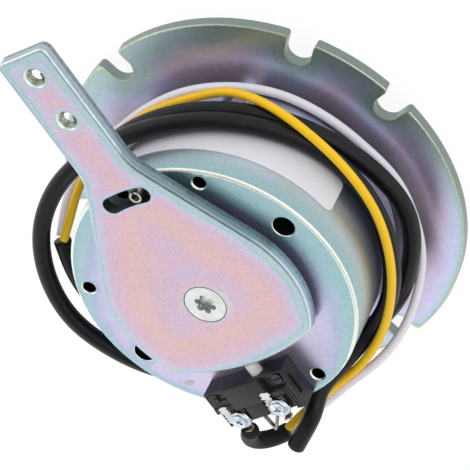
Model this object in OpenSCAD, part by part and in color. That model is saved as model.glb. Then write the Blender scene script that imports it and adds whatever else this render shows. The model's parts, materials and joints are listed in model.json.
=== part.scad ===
// Spring-applied motor brake with a hand release lever and a limit switch.
// Millimetres. The origin is on the shaft axis, at the back face of the
// mounting plate. +Z runs along the shaft, away from the motor.

/* [Mounting plate] */
// Outside diameter of the mounting plate
plate_d = 162; // [156:1:190]
// Thickness of the mounting plate
plate_t = 5; // [4:0.5:8]
// Opening for the shaft hub
plate_bore_d = 44; // [40:1:50]
// Circle of the motor face bolts
bolt_circle_d = 149.2; // [146:0.1:152]
// Width of each open bolt slot
slot_w = 10.4; // [8:0.1:12]
// Rounding at the mouth of each slot
slot_mouth_r = 2; // [1:0.5:3]

/* [Friction rotor] */
// Distance of the friction rotor's rim inside the body's side
rotor_inset = 12; // [11.5:0.5:18]
// Inside diameter of the linings
lining_id = 56; // [52:1:62]
// Thickness of each friction lining
lining_t = 2.5; // [1.5:0.5:4]
// Thickness of the steel carrier between the linings
carrier_t = 3; // [2:0.5:5]
// Radial grooves in each lining
lining_grooves = 8; // [3:1:12]
// Width of a lining groove
groove_w = 2.5; // [1:0.5:4]

/* [Shaft hub] */
// Shaft bore of the hub
shaft_d = 15.875; // [12:0.005:17]
// Width of the shaft key
key_w = 4.76; // [3:0.01:6]
// Height from the far side of the bore to the key seat
key_seat = 18.1; // [17.5:0.1:19]
// Diameter over the spline teeth
spline_d = 34; // [30:1:38]
// Depth of a spline tooth
spline_depth = 2.2; // [1.5:0.1:2.6]
// Teeth on the spline
spline_teeth = 18; // [12:1:24]
// Length of the hub
hub_len = 14.5; // [12:0.5:15]

/* [Armature] */
// Thickness of the armature plate
armature_t = 8; // [7:0.5:10]
// Gap between the armature and the magnet when the brake is on
air_gap = 0.6; // [0.5:0.1:1]

/* [Magnet body] */
// Outside diameter of the magnet body
body_d = 113; // [108:1:118]
// Length of the magnet body
body_len = 39.9; // [36:0.1:44]
// Rounding of its front edge
body_edge_r = 1; // [0.5:0.1:2]
// Distance of the post screws inside the body's side
screw_inset = 5.5; // [5:0.1:6]
// Tapped hole for a post screw, at its minor diameter
screw_hole_d = 5.2; // [4.8:0.1:6]
// Through hole for an emergency release screw
jack_hole_d = 8.5; // [7:0.5:9]
// Distance of the emergency release holes inside the body's side
jack_inset = 8.7; // [8.4:0.1:10]
// Width of the coil groove
coil_w = 15; // [13:0.5:16]
// Thickness of the outer pole round the coil groove
outer_pole_t = 15.5; // [15:0.5:18]
// Coil groove depth
coil_depth = 25; // [18:0.5:26]

/* [Brake springs] */
// Number of brake springs
spring_count = 6; // [3:1:6]
// Wire diameter of a brake spring
spring_wire_d = 1.8; // [1.2:0.1:2]
// Mean coil diameter of a brake spring
spring_coil_d = 6.4; // [5:0.1:6.6]
// Turns of a brake spring
spring_turns = 6; // [4:0.5:9]
// Depth of the spring pockets
pocket_depth = 24; // [18:0.5:28]
// Distance of the spring pockets inside the coil groove
pocket_inset = 8; // [6.5:0.5:9]

/* [Posts and screws] */
// Diameter of a spacer post
post_d = 9.6; // [8:0.1:10]
// Shank diameter of a post screw
post_screw_d = 5; // [4:0.1:5]
// Head diameter of a post screw
post_head_d = 10; // [9:0.1:11]

/* [Release spindle] */
// Diameter of the release spindle
spindle_d = 13; // [12:0.1:14]
// Diameter of its head below the armature
spindle_head_d = 22; // [18:0.5:24]
// Diameter of its collar below the lever
collar_d = 24; // [20:0.5:26]
// Diameter of each drive pin between collar and lever
drive_pin_d = 3; // [2:0.5:4]
// Star screw shank diameter
star_screw_d = 8; // [6:0.5:8]
// Star screw head diameter
star_head_d = 16.4; // [15:0.1:16.8]

/* [Release lever] */
// Thickness of the lever
lever_t = 5; // [4:0.5:6]
// Gap between the magnet body and the lever
lever_gap = 2.7; // [2:0.1:3.2]
// Direction of the lever's arm at rest
lever_angle = 76.2; // [70:0.1:82]
// Radius of the lever's round hub
lever_hub_r = 41; // [38:0.5:43]
// Width of the lever's arm
arm_w = 23; // [20:0.5:26]
// Reach of the arm from the axis
arm_reach = 119.5; // [116:0.5:140]
// Corner rounding at the arm's tip
arm_tip_r = 3; // [1:0.5:6]
// Slope of the flanks between hub and arm
flank_angle = 28.7; // [25:0.1:32]
// Rounding where a flank meets the arm
flank_fillet_r = 20; // [10:1:30]
// Lowest point of the cam edge, below the axis
cam_drop = 31; // [29:0.5:33]
// Radius of the cam edge
cam_r = 90; // [80:1:110]
// Rounding of the corners of the cam edge
cam_corner_r = 5; // [3:0.5:7]
// Rod hole at its minor diameter
rod_hole_d = 6.8; // [5:0.1:8]
// Reach of the inner rod hole
rod_hole_near = 89.5; // [84:0.5:95]
// Distance between the rod holes
rod_hole_pitch = 20; // [16:0.5:22]
// Distance of the curved slot's centre line inside the body's side
arc_slot_inset = 4.5; // [4:0.1:5]
// Half the swing between the ends of the curved slot
arc_slot_half = 8; // [8:0.1:9]
// Width of the curved slot
arc_slot_w = 7; // [6:0.1:8]
// Outside diameter of the stop pin
stop_pin_d = 5; // [4:0.1:5]
// Direction of the stop pin
stop_pin_angle = 72; // [71:0.1:73]

/* [Ball ramps] */
// Diameter of a ramp ball
ball_d = 6; // [5:0.5:7]
// Circle radius of the balls
ball_r = 24; // [20:0.5:25]
// Slope of a ramp
ramp_slope = 5; // [4:0.5:6]
// Length of a ramp
ramp_len = 5.5; // [5:0.5:8]

/* [Switch] */
// Direction the switch is turned to, against the plate
switch_angle = -12.8; // [-16:0.1:-10]
// Width of the switch case
switch_w = 38; // [36:0.5:42]
// Its left end, from the line through the axis
switch_left = -27.6; // [-29:0.1:-26]
// Distance between the cam edge and the switch case
switch_gap = 5.2; // [4.5:0.1:6]
// Height of the switch case
switch_h = 18; // [17:0.5:20]
// Thickness of the switch case
switch_t = 9.8; // [9:0.1:11]
// Thickness of its base half
switch_base_t = 4.4; // [4:0.1:5]
// Height of the terminal ledge
ledge_h = 8; // [7:0.5:9]
// Level of the terminal ledge below the cover
ledge_drop = 2.4; // [1.5:0.1:3]
// Width of the rib between the terminals
rib_w = 8.7; // [7:0.1:9]
// Width of the wall beside the right terminal
side_wall_w = 4; // [3:0.1:5]
// Diameter of the plunger
plunger_d = 5.2; // [4:0.1:5.4]
// Place of the plunger across the case
plunger_x = -3; // [-6:0.5:0]
// Distance between the terminals
terminal_pitch = 19.1; // [17:0.1:21]
// Place of the right terminal across the case
terminal_x = -0.6; // [-3:0.1:1]
// Head diameter of a terminal screw
terminal_head_d = 7.4; // [6:0.1:7.6]
// Distance between the two fixing screws of the case
fixing_pitch = 31; // [28:0.5:32]
// Shank diameter of a fixing screw
fixing_d = 2.4; // [2:0.1:2.6]

/* [Leads] */
// Diameter of the black lead of the coil
lead_d = 7; // [6:0.1:7]
// Diameter of the two thin wires
wire_d = 3.5; // [3:0.1:3.5]
// Diameter of the black sleeve on the yellow wire
sleeve_d = 7; // [6:0.1:7]

/* [Label] */
// Thickness of the label
label_t = 0.2; // [0.15:0.05:0.3]
// Lower edge of the label along the axis
label_z = 31; // [28:0.5:34]
// Width of the label along the axis
label_w = 18; // [14:0.5:22]
// Direction where the label starts
label_from = -5.5; // [-8:0.5:0]
// Angle that the label covers
label_span = 88; // [60:1:90]

/* [Hidden] */
$fn = 96;

// Small distances that keep pieces apart or run a cut through a face
fit = 0.05;
run = 0.3;
cut = 1;
thin = 0.6;

// Radii and diameters that follow the magnet body
body_r = body_d / 2;
rotor_d = body_d - 2 * rotor_inset;
screw_r = body_r - screw_inset;
jack_r = body_r - jack_inset;
coil_ro = body_r - outer_pole_t;
coil_ri = coil_ro - coil_w;
pocket_r = coil_ri - pocket_inset;
arc_slot_r = body_r - arc_slot_inset;
switch_top = cam_drop + switch_gap;

// Levels along the shaft axis
rotor_z = plate_t;
carrier_z = rotor_z + lining_t;
front_lining_z = carrier_z + carrier_t;
armature_z = front_lining_z + lining_t;
armature_top = armature_z + armature_t;
body_z = armature_top + air_gap;
body_top = body_z + body_len;
lever_z = body_top + lever_gap;
lever_top = lever_z + lever_t;

// Directions seen from the front, counted from +X
slot_angles = [-90, 0, 30, 90, 150, 180];
body_turn = 5.6;
post_angles = [body_turn - 90, body_turn + 40.5, body_turn + 139.5];
jack_angles = [body_turn, body_turn + 180];

// Chamfers
small_chamfer = 0.55;
rod_chamfer = 0.9;
plate_chamfer = 0.4;

// Post screws
post_head_t = 2.4;
post_key_w = 4.6;
post_key_depth = 1.5;
post_thread_len = 20;
post_notch_gap = 0.8;

// Armature and spindle
armature_web = 3;
armature_tap = 1.7;
spindle_head_t = 2;
drive_seat = 1;

// Coil
bobbin_wall = 1.2;
coil_h = coil_depth - 2 * run;
coil_z = body_z + coil_depth - coil_h - run / 2;

// Star screw and its six-lobed recess
star_screw_len = 20;
star_hole_spare = 2;
star_recess_depth = 2.6;
star_core_r = 2.85;
star_lobe_r = 1.2;
star_lobe_reach = 3;

// Stop pin and its spare hole
stop_pin_seat = 10;
stop_pin_bore = 3;
stop_pin_r = arc_slot_r - (arc_slot_w - stop_pin_d) / 2 + run;
spare_pin_angle = 83;

// Ball ramps
lever_swing = 12.5;
ramp_side_gap = 0.25;

// Switch: set-back of the rib between the terminals
rib_inset = 1.5;

// Switch: fixing screws and their sunk seats
fixing_inset = 3;
fixing_depth = 7;
fixing_head_d = 4.4;
fixing_head_t = 1.2;
fixing_seat_d = 4.8;
fixing_seat_depth = 1.8;

// Switch: finger recess in the right-hand wall
side_recess_l = 9;
side_recess_w = 1.8;
side_recess_y = 13;
side_recess_z = 1.4;

// Switch: plunger
plunger_gap = 0.2;
plunger_bore_depth = 7.5;
plunger_seat = 5;
plunger_tip_chamfer = 0.7;

// Terminals
terminal_inset = 3.6;
terminal_screw_d = 3;
terminal_screw_len = 5;
terminal_bore_depth = 4.5;
terminal_bore_gap = 0.1;
terminal_plate_t = 0.8;
terminal_plate_w = 6.4;
terminal_plate_h = 6.8;
terminal_tab_w = 3;
terminal_tab_reach = 6.6;
terminal_tab_rise = 2.6;
clamp_t = 0.7;
clamp_tooth_w = 1.8;
clamp_tooth_y = 1.6;
clamp_tooth_reach = 1.4;
terminal_head_h = 2.3;
terminal_head_round = 1.4;
terminal_recess_l = 3.8;
terminal_recess_w = 0.9;
terminal_recess_depth = 1.2;
terminal_recess_turn = 20;

function polar(r, a, z = 0) = [r * cos(a), r * sin(a), z];
function unit(v) = v / norm(v);

module at_each(angles, r, z = 0) {
    for (a = angles)
        rotate(a) translate([r, 0, z]) children();
}

// A hole with a chamfer at its upper mouth
module chamfered_hole(d, z_low, z_high, chamfer) {
    translate([0, 0, z_low]) cylinder(d = d, h = z_high - z_low);
    translate([0, 0, z_high - chamfer])
        cylinder(d1 = d, d2 = d + 2 * (chamfer + cut), h = chamfer + cut);
}

// A ring with square edges
module ring(d_out, d_in, h) {
    rotate_extrude() translate([d_in / 2, 0]) square([(d_out - d_in) / 2, h]);
}

/* Motor side */

// Open slot with a round inner end and rounded mouth corners
module bolt_slot() {
    mouth_x = sqrt(pow(plate_d / 2, 2) - pow(slot_w / 2, 2));
    translate([bolt_circle_d / 2, 0, -cut]) cylinder(d = slot_w, h = plate_t + 2 * cut);
    translate([bolt_circle_d / 2, -slot_w / 2, -cut])
        cube([plate_d / 2, slot_w, plate_t + 2 * cut]);
    for (side = [-1, 1])
        mirror([0, side < 0 ? 1 : 0, 0])
            translate([mouth_x - slot_mouth_r, slot_w / 2, 0])
                mouth_rounding();
}

// What a rounded mouth corner takes off the rim beside a slot
module mouth_rounding() {
    difference() {
        translate([0, -cut, -cut])
            cube([slot_mouth_r + cut, slot_mouth_r + cut, plate_t + 2 * cut]);
        translate([0, slot_mouth_r, -2 * cut])
            cylinder(r = slot_mouth_r, h = plate_t + 4 * cut, $fn = 48);
    }
}

module mounting_plate() {
    color([0.72, 0.78, 0.66]) difference() {
        rotate_extrude() polygon([
            [plate_bore_d / 2, 0],
            [plate_d / 2 - plate_chamfer, 0],
            [plate_d / 2, plate_chamfer],
            [plate_d / 2, plate_t - plate_chamfer],
            [plate_d / 2 - plate_chamfer, plate_t],
            [plate_bore_d / 2, plate_t]
        ]);
        for (a = slot_angles)
            rotate(a) bolt_slot();
        at_each(post_angles, screw_r, -cut)
            cylinder(d = post_screw_d + run, h = plate_t + 2 * cut);
        at_each(post_angles, screw_r, -cut)
            cylinder(d = post_head_d + run, h = cut + post_head_t);
    }
}

module rotor_carrier() {
    color([0.45, 0.47, 0.5]) difference() {
        translate([0, 0, carrier_z]) cylinder(d = rotor_d, h = carrier_t);
        translate([0, 0, carrier_z - cut])
            linear_extrude(carrier_t + 2 * cut) spline_outline(2 * fit);
    }
}

module lining(z) {
    difference() {
        translate([0, 0, z]) ring(rotor_d, lining_id, lining_t);
        for (i = [0 : lining_grooves - 1])
            rotate(i * 360 / lining_grooves)
                translate([lining_id / 4, -groove_w / 2, lining_side(z)])
                    cube([rotor_d, groove_w, lining_t / 2 + cut]);
    }
}

// Grooves open towards the plate on the rear lining and towards the armature on the front one
function lining_side(z) = z < carrier_z ? z - cut : z + lining_t / 2;

module lining_rear() { color([0.25, 0.22, 0.2]) lining(rotor_z); }
module lining_front() { color([0.25, 0.22, 0.2]) lining(front_lining_z); }

// Toothed outline shared by the hub and the rotor, grown by a clearance
module spline_outline(grow = 0) {
    root = spline_d / 2 - spline_depth + grow;
    tip = spline_d / 2 + grow;
    pitch = 360 / spline_teeth;
    flank = grow / tip * 180 / PI;
    polygon([
        for (i = [0 : spline_teeth - 1])
            for (corner = [[root, -0.34 * pitch - flank], [tip, -0.16 * pitch - flank],
                           [tip, 0.16 * pitch + flank], [root, 0.34 * pitch + flank]])
                polar_2d(corner[0], i * pitch + corner[1])
    ]);
}

function polar_2d(r, a) = [r * cos(a), r * sin(a)];

module shaft_hub() {
    color([0.6, 0.62, 0.64]) difference() {
        linear_extrude(hub_len) spline_outline();
        translate([0, 0, -cut]) cylinder(d = shaft_d, h = hub_len + 2 * cut);
        translate([-key_w / 2, 0, -cut])
            cube([key_w, key_seat - shaft_d / 2, hub_len + 2 * cut]);
    }
}

/* Magnet side */

module armature_plate() {
    notch_w = post_d + 2 * post_notch_gap;
    seat_depth = armature_t - armature_web;
    color([0.7, 0.72, 0.72]) difference() {
        translate([0, 0, armature_z]) cylinder(d = body_d, h = armature_t);
        translate([0, 0, armature_z - cut])
            cylinder(d = spline_d + 2 * spline_depth, h = seat_depth + cut);
        translate([0, 0, armature_z - cut])
            cylinder(d = spindle_d + 2 * run, h = armature_t + 2 * cut);
        at_each(post_angles, screw_r, armature_z - cut) {
            cylinder(d = notch_w, h = armature_t + 2 * cut);
            translate([0, -notch_w / 2, 0]) cube([body_r, notch_w, armature_t + 2 * cut]);
        }
        at_each(jack_angles, jack_r, armature_z - cut)
            cylinder(d = jack_hole_d - armature_tap, h = armature_t + 2 * cut);
    }
}

// Half section of the pot magnet, without its holes
module pot_section() {
    mid = body_z + coil_depth;
    polygon(concat(
        [[spindle_d / 2 + run, body_z], [coil_ri, body_z], [coil_ri, mid],
         [coil_ro, mid], [coil_ro, body_z], [body_r - plate_chamfer, body_z],
         [body_r, body_z + plate_chamfer]],
        [for (a = [0 : 15 : 90])
            [body_r - body_edge_r, body_top - body_edge_r]
                + body_edge_r * [cos(a), sin(a)]],
        [[spindle_d / 2 + run, body_top]]
    ));
}

module magnet_body() {
    color([0.74, 0.8, 0.82]) difference() {
        rotate_extrude() pot_section();
        at_each(post_angles, screw_r)
            chamfered_hole(screw_hole_d, body_z - cut, body_top, small_chamfer);
        at_each(jack_angles, jack_r)
            chamfered_hole(jack_hole_d, body_z - cut, body_top, small_chamfer / 2);
        at_each(pocket_angles(), pocket_r, body_z - cut)
            cylinder(d = pocket_d(), h = pocket_depth + cut);
        at_each(ball_angles(), ball_r, ball_z())
            sphere(d = ball_d + 2 * fit, $fn = 48);
        rotate(stop_pin_angle) translate([stop_pin_r, 0, body_top - stop_pin_seat])
            cylinder(d = stop_pin_d, h = stop_pin_seat + cut);
        rotate(spare_pin_angle) translate([stop_pin_r, 0, body_top - stop_pin_seat])
            cylinder(d = stop_pin_d, h = stop_pin_seat + cut);
        switch_place()
            for (x = fixing_xs())
                translate([x, -fixing_y(), body_top - fixing_depth])
                    cylinder(d = fixing_d, h = fixing_depth + cut, $fn = 32);
        lead_outlet();
    }
}

function pocket_d() = spring_coil_d + spring_wire_d + 2 * run;
function pocket_angles() = [for (i = [0 : spring_count - 1]) (i + 0.5) * 360 / spring_count];

// Slanting hole from the coil groove to the side, along the first stretch of the coil's lead
module lead_outlet() {
    pts = route_points(coil_lead_route);
    along = pts[1] - pts[0];
    translate(pts[0]) rotate([0, 90, atan2(along[1], along[0])])
        translate([0, 0, -outlet_inset])
            cylinder(d = lead_d + 2 * run, h = body_r);
}

// Reach of that hole into the coil groove, behind the lead's end
outlet_inset = 6;

module coil_bobbin() {
    color([0.15, 0.15, 0.16]) translate([0, 0, coil_z]) {
        rotate_extrude() polygon([
            [coil_ri + run, 0], [coil_ro - run, 0], [coil_ro - run, bobbin_wall],
            [coil_ri + run + bobbin_wall, bobbin_wall],
            [coil_ri + run + bobbin_wall, coil_h - bobbin_wall],
            [coil_ro - run, coil_h - bobbin_wall], [coil_ro - run, coil_h], [coil_ri + run, coil_h]
        ]);
    }
}

module coil_winding() {
    side_gap = bobbin_wall + fit;
    color([0.6, 0.34, 0.2]) translate([0, 0, coil_z + side_gap])
        ring(2 * (coil_ro - 2 * run), 2 * (coil_ri + run + side_gap), coil_h - 2 * side_gap);
}

// Closed and ground end rings with an open helix between them
module helix(wire_d, coil_d, turns, h, steps, sides) {
    n = floor(turns * steps);
    points = [
        for (i = [0 : n])
            for (j = [0 : sides - 1])
                let (a = 360 * i / steps, b = 360 * j / sides,
                     r = coil_d / 2 + wire_d / 2 * cos(b))
                    [r * cos(a), r * sin(a),
                     wire_d / 2 + (h - wire_d) * i / n + wire_d / 2 * sin(b)]
    ];
    polyhedron(points, tube_faces(n + 1, sides), convexity = 8);
}

// Faces of a tube of rings, with closed ends
function tube_faces(rings, sides) = concat(
    [[for (j = [0 : sides - 1]) j]],
    [for (i = [0 : rings - 2]) for (j = [0 : sides - 1])
        let (k = (j + 1) % sides, a = i * sides, b = a + sides)
            for (face = [[a + j, b + j, b + k], [a + j, b + k, a + k]])
                face],
    [[for (j = [sides - 1 : -1 : 0]) (rings - 1) * sides + j]]
);

module brake_springs() {
    h = pocket_depth + air_gap - 2 * fit;
    color([0.5, 0.5, 0.52])
        at_each(pocket_angles(), pocket_r, armature_top + fit)
            helix(spring_wire_d, spring_coil_d, spring_turns, h, 9, 5);
}

/* Posts and screws */

module spacer_posts() {
    color([0.8, 0.82, 0.84])
        at_each(post_angles, screw_r, plate_t)
            ring(post_d, post_screw_d + run, body_z - plate_t);
}

module post_screws() {
    color([0.7, 0.7, 0.68])
        at_each(post_angles, screw_r) {
            difference() {
                union() {
                    cylinder(d = post_head_d, h = post_head_t);
                    cylinder(d = post_screw_d, h = body_z + post_thread_len);
                }
                translate([0, 0, -cut])
                    cylinder(d = post_key_w, h = cut + post_key_depth, $fn = 6);
            }
        }
}

/* Release */

module release_spindle() {
    head_z = armature_top - armature_web - spindle_head_t;
    color([0.66, 0.68, 0.7]) difference() {
        union() {
            translate([0, 0, head_z]) cylinder(d = spindle_head_d, h = spindle_head_t);
            translate([0, 0, head_z]) cylinder(d = spindle_d, h = lever_z - head_z);
            translate([0, 0, body_top + run])
                cylinder(d = collar_d, h = lever_gap - run);
        }
        translate([0, 0, lever_z - star_screw_len])
            cylinder(d = star_screw_d + 2 * fit, h = star_screw_len + cut);
        at_each(drive_angles(), drive_r(), body_top)
            cylinder(d = drive_pin_d, h = lever_gap + cut, $fn = 32);
    }
}

function drive_r() = (star_head_d + drive_pin_d) / 4 + star_screw_d / 4 + 1;
function drive_angles() = [lever_angle, lever_angle + 180];

module drive_pins() {
    h = lever_gap - run + drive_seat;
    color([0.55, 0.56, 0.58])
        at_each(drive_angles(), drive_r(), body_top + run)
            cylinder(d = drive_pin_d, h = h, $fn = 32);
}

module star_screw() {
    head_h = (star_head_d - star_screw_d) / 2;
    tip_z = lever_z - star_screw_len + star_hole_spare;
    color([0.9, 0.92, 0.9]) difference() {
        union() {
            translate([0, 0, lever_top - head_h])
                cylinder(d1 = star_screw_d, d2 = star_head_d, h = head_h);
            translate([0, 0, tip_z]) cylinder(d = star_screw_d, h = lever_top - head_h - tip_z);
        }
        translate([0, 0, lever_top - star_recess_depth]) star_recess();
    }
}

// Six-lobed drive recess
module star_recess() {
    h = star_recess_depth + cut;
    cylinder(r = star_core_r, h = h, $fn = 48);
    for (i = [0 : 5])
        rotate(i * 60) translate([star_lobe_reach, 0, 0])
            cylinder(r = star_lobe_r, h = h, $fn = 24);
}

// Outline of the lever with its arm along +Y
module lever_outline() {
    difference() {
        union() {
            circle(r = lever_hub_r);
            polygon(concat([[0, 0]], lever_side(), mirrored(lever_side())));
        }
        for (side = [-1, 1])
            translate([side * flank_fillet_centre()[0], flank_fillet_centre()[1]])
                circle(r = flank_fillet_r);
        difference() {
            translate([-2 * lever_hub_r, -2 * lever_hub_r])
                square([4 * lever_hub_r, 2 * lever_hub_r]);
            translate([0, cam_r - cam_drop]) circle(r = cam_r, $fn = 180);
        }
        cam_corner();
        mirror([1, 0]) cam_corner();
    }
}

// Right side of flank and arm: the hub's tangent point, both feet of the rounding, the tip
function lever_side() =
    let (slope = [cos(flank_angle), sin(flank_angle)], fillet = flank_fillet_centre())
        concat(
            [lever_hub_r * slope, fillet - flank_fillet_r * slope, [arm_w / 2, fillet[1]]],
            [for (a = [0 : 15 : 90])
                [arm_w / 2 - arm_tip_r, arm_reach - arm_tip_r] + arm_tip_r * [cos(a), sin(a)]]
        );

// The same points on the left, in the opposite order
function mirrored(points) = [for (i = [len(points) - 1 : -1 : 0]) [-points[i][0], points[i][1]]];

// Centre of the rounding between a flank and the arm
function flank_fillet_centre() =
    let (x = arm_w / 2 + flank_fillet_r)
        [x, (lever_hub_r + flank_fillet_r - x * cos(flank_angle)) / sin(flank_angle)];

// What the rounding takes off a corner between the round hub and the cam edge
module cam_corner() {
    cam_y = cam_r - cam_drop;
    a = lever_hub_r - cam_corner_r;
    b = cam_r - cam_corner_r;
    y = (a * a - b * b + cam_y * cam_y) / (2 * cam_y);
    x = sqrt(a * a - y * y);
    on_hub = [x, y] * lever_hub_r / a;
    on_cam = [0, cam_y] + ([x, y] - [0, cam_y]) * cam_r / b;
    difference() {
        polygon([[x, y], on_hub, on_hub + [cut, -cam_corner_r], on_cam + [0, -cam_corner_r], on_cam]);
        translate([x, y]) circle(r = cam_corner_r, $fn = 64);
    }
}

module arc_slot(z, h) {
    arc_from = 90 - arc_slot_half;
    translate([0, 0, z]) {
        rotate(arc_from) rotate_extrude(angle = 2 * arc_slot_half)
            translate([arc_slot_r - arc_slot_w / 2, 0]) square([arc_slot_w, h]);
        for (a = [arc_from, arc_from + 2 * arc_slot_half])
            rotate(a) translate([arc_slot_r, 0, 0]) cylinder(d = arc_slot_w, h = h);
    }
}

module release_lever() {
    head_h = (star_head_d - star_screw_d) / 2;
    color([0.84, 0.76, 0.82]) difference() {
        rotate(lever_angle - 90) translate([0, 0, lever_z])
            difference() {
                linear_extrude(lever_t) lever_outline();
                for (y = [rod_hole_near, rod_hole_near + rod_hole_pitch])
                    translate([0, y, 0]) rod_hole();
                arc_slot(-cut, lever_t + 2 * cut);
            }
        translate([0, 0, lever_z - cut]) cylinder(d = star_screw_d + 2 * fit, h = lever_t + 2 * cut);
        translate([0, 0, lever_top - head_h])
            cylinder(d1 = star_screw_d + 2 * fit, d2 = star_head_d + 2 * fit, h = head_h);
        translate([0, 0, lever_top - fit]) cylinder(d = star_head_d + 2 * fit, h = cut);
        at_each(drive_angles(), drive_r(), lever_z - cut)
            cylinder(d = drive_pin_d, h = drive_seat + cut, $fn = 32);
        for (a = ball_angles())
            rotate(a) ramp();
    }
}

// Tapped hole with a chamfer on both faces
module rod_hole() {
    chamfered_hole(rod_hole_d, -cut, lever_t, rod_chamfer);
    translate([0, 0, -cut])
        cylinder(d1 = rod_hole_d + 2 * (rod_chamfer + cut), d2 = rod_hole_d, h = rod_chamfer + cut);
}

function ball_z() = body_top + lever_gap / 2;
function ball_angles() = [for (i = [0 : 2]) lever_angle + 120 * i];

// Sloping groove that lifts the lever off its ball as the lever turns clockwise
module ramp() {
    groove_r = ball_d / 2 + ramp_side_gap;
    translate([ball_r, 0, ball_z() + fit - ramp_side_gap])
        rotate(lever_swing / 2) rotate([-ramp_slope, 0, 0]) {
            sphere(r = groove_r, $fn = 48);
            rotate([-90, 0, 0]) cylinder(r = groove_r, h = ramp_len, $fn = 48);
            translate([0, ramp_len, 0]) sphere(r = groove_r, $fn = 48);
        }
}

module ramp_balls() {
    color([0.85, 0.86, 0.88])
        at_each(ball_angles(), ball_r, ball_z()) sphere(d = ball_d, $fn = 48);
}

// Rolled spring pin, split along its length
module stop_pin() {
    h = stop_pin_seat + lever_gap + lever_t - run;
    color([0.75, 0.74, 0.7])
        rotate(stop_pin_angle) translate([stop_pin_r, 0, body_top - stop_pin_seat])
            difference() {
                cylinder(d = stop_pin_d, h = h);
                translate([0, 0, -cut]) cylinder(d = stop_pin_bore, h = h + 2 * cut);
                translate([0, -thin / 2, -cut]) cube([stop_pin_d, thin, h + 2 * cut]);
            }
}

/* Label */

module label() {
    color([0.92, 0.93, 0.93]) rotate(label_from) translate([0, 0, label_z])
        rotate_extrude(angle = label_span)
            translate([body_r + fit, 0]) square([label_t, label_w]);
}

/* Limit switch, drawn with its back on the magnet body and its plunger along +Y */

module switch_place() {
    rotate(switch_angle) children();
}

function fixing_xs() = [switch_left + fixing_inset, switch_left + fixing_inset + fixing_pitch];
function fixing_y() = switch_top + fixing_inset;
function terminal_xs() = [terminal_x - terminal_pitch, terminal_x];
function terminal_y() = switch_top + switch_h - terminal_inset;
function ledge_z() = body_top + switch_t - ledge_drop;
function switch_right() = switch_left + switch_w;

module switch_block(x, y_top, w, h, z, t) {
    translate([x, -y_top - h, z]) cube([w, h, t]);
}

module switch_base() {
    color([0.12, 0.12, 0.13]) switch_place() difference() {
        switch_block(switch_left, switch_top, switch_w, switch_h, body_top, switch_base_t);
        fixing_holes();
        plunger_bore();
        terminal_bores();
    }
}

module switch_cover() {
    z = body_top + switch_base_t;
    cover_t = switch_t - switch_base_t;
    rib_x = terminal_x - (terminal_pitch + rib_w) / 2;
    color([0.17, 0.17, 0.18]) switch_place() difference() {
        union() {
            switch_block(switch_left, switch_top, switch_w, switch_h, z, cover_t - ledge_drop);
            switch_block(switch_left, switch_top, switch_w, switch_h - ledge_h, z, cover_t);
            switch_block(rib_x, switch_top, rib_w, switch_h - rib_inset, z, cover_t);
            switch_block(switch_right() - side_wall_w, switch_top, side_wall_w, switch_h, z, cover_t);
        }
        fixing_holes();
        fixing_recesses();
        plunger_bore();
        terminal_bores();
        side_recess();
    }
}

module fixing_holes() {
    for (x = fixing_xs())
        translate([x, -fixing_y(), body_top - cut])
            cylinder(d = fixing_d + run, h = switch_t + 2 * cut, $fn = 32);
}

// Sunk seats round the two fixing screws
module fixing_recesses() {
    for (x = fixing_xs())
        translate([x, -fixing_y(), body_top + switch_t - fixing_seat_depth])
            cylinder(d = fixing_seat_d, h = fixing_seat_depth + cut, $fn = 32);
}

// Finger recess in the right-hand wall
module side_recess() {
    z = body_top + switch_base_t + side_recess_z;
    translate([switch_right() - cut, -switch_top - side_recess_y, z])
        cube([2 * cut, side_recess_l, side_recess_w]);
}

module plunger_bore() {
    translate([plunger_x, -switch_top + cut, plunger_z()])
        rotate([90, 0, 0])
            cylinder(d = plunger_d + 2 * plunger_gap, h = plunger_bore_depth + cut, $fn = 48);
}

function plunger_z() = body_top + switch_base_t;

module terminal_bores() {
    for (x = terminal_xs())
        translate([x, -terminal_y(), ledge_z() - terminal_bore_depth])
            cylinder(d = terminal_bore_d(), h = terminal_bore_depth + cut, $fn = 32);
}

function terminal_bore_d() = terminal_screw_d + 2 * terminal_bore_gap;
function terminal_hole_d() = terminal_bore_d() + 2 * terminal_bore_gap;

module switch_plunger() {
    len = switch_top - plunger_tip() + plunger_seat;
    tip_d = plunger_d - 2 * plunger_tip_chamfer;
    color([0.93, 0.93, 0.9]) switch_place()
        translate([plunger_x, -plunger_tip(), plunger_z()])
            rotate([90, 0, 0]) {
                translate([0, 0, plunger_tip_chamfer])
                    cylinder(d = plunger_d, h = len - plunger_tip_chamfer, $fn = 48);
                cylinder(d1 = tip_d, d2 = plunger_d, h = plunger_tip_chamfer, $fn = 48);
            }
}

// Distance of the plunger's tip from the axis, just clear of the cam edge
function plunger_tip() = cam_drop + fit;

module switch_fixings() {
    seat_z = fixing_depth + switch_t - fixing_seat_depth + fit;
    head_top = seat_z + fixing_head_t;
    color([0.3, 0.3, 0.32]) switch_place()
        for (x = fixing_xs())
            translate([x, -fixing_y(), body_top - fixing_depth]) difference() {
                union() {
                    cylinder(d = fixing_d, h = head_top, $fn = 32);
                    translate([0, 0, seat_z]) cylinder(d = fixing_head_d, h = fixing_head_t, $fn = 32);
                }
                translate([-fixing_head_d, -thin / 2, head_top - thin])
                    cube([2 * fixing_head_d, thin, thin + cut]);
            }
}

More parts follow.
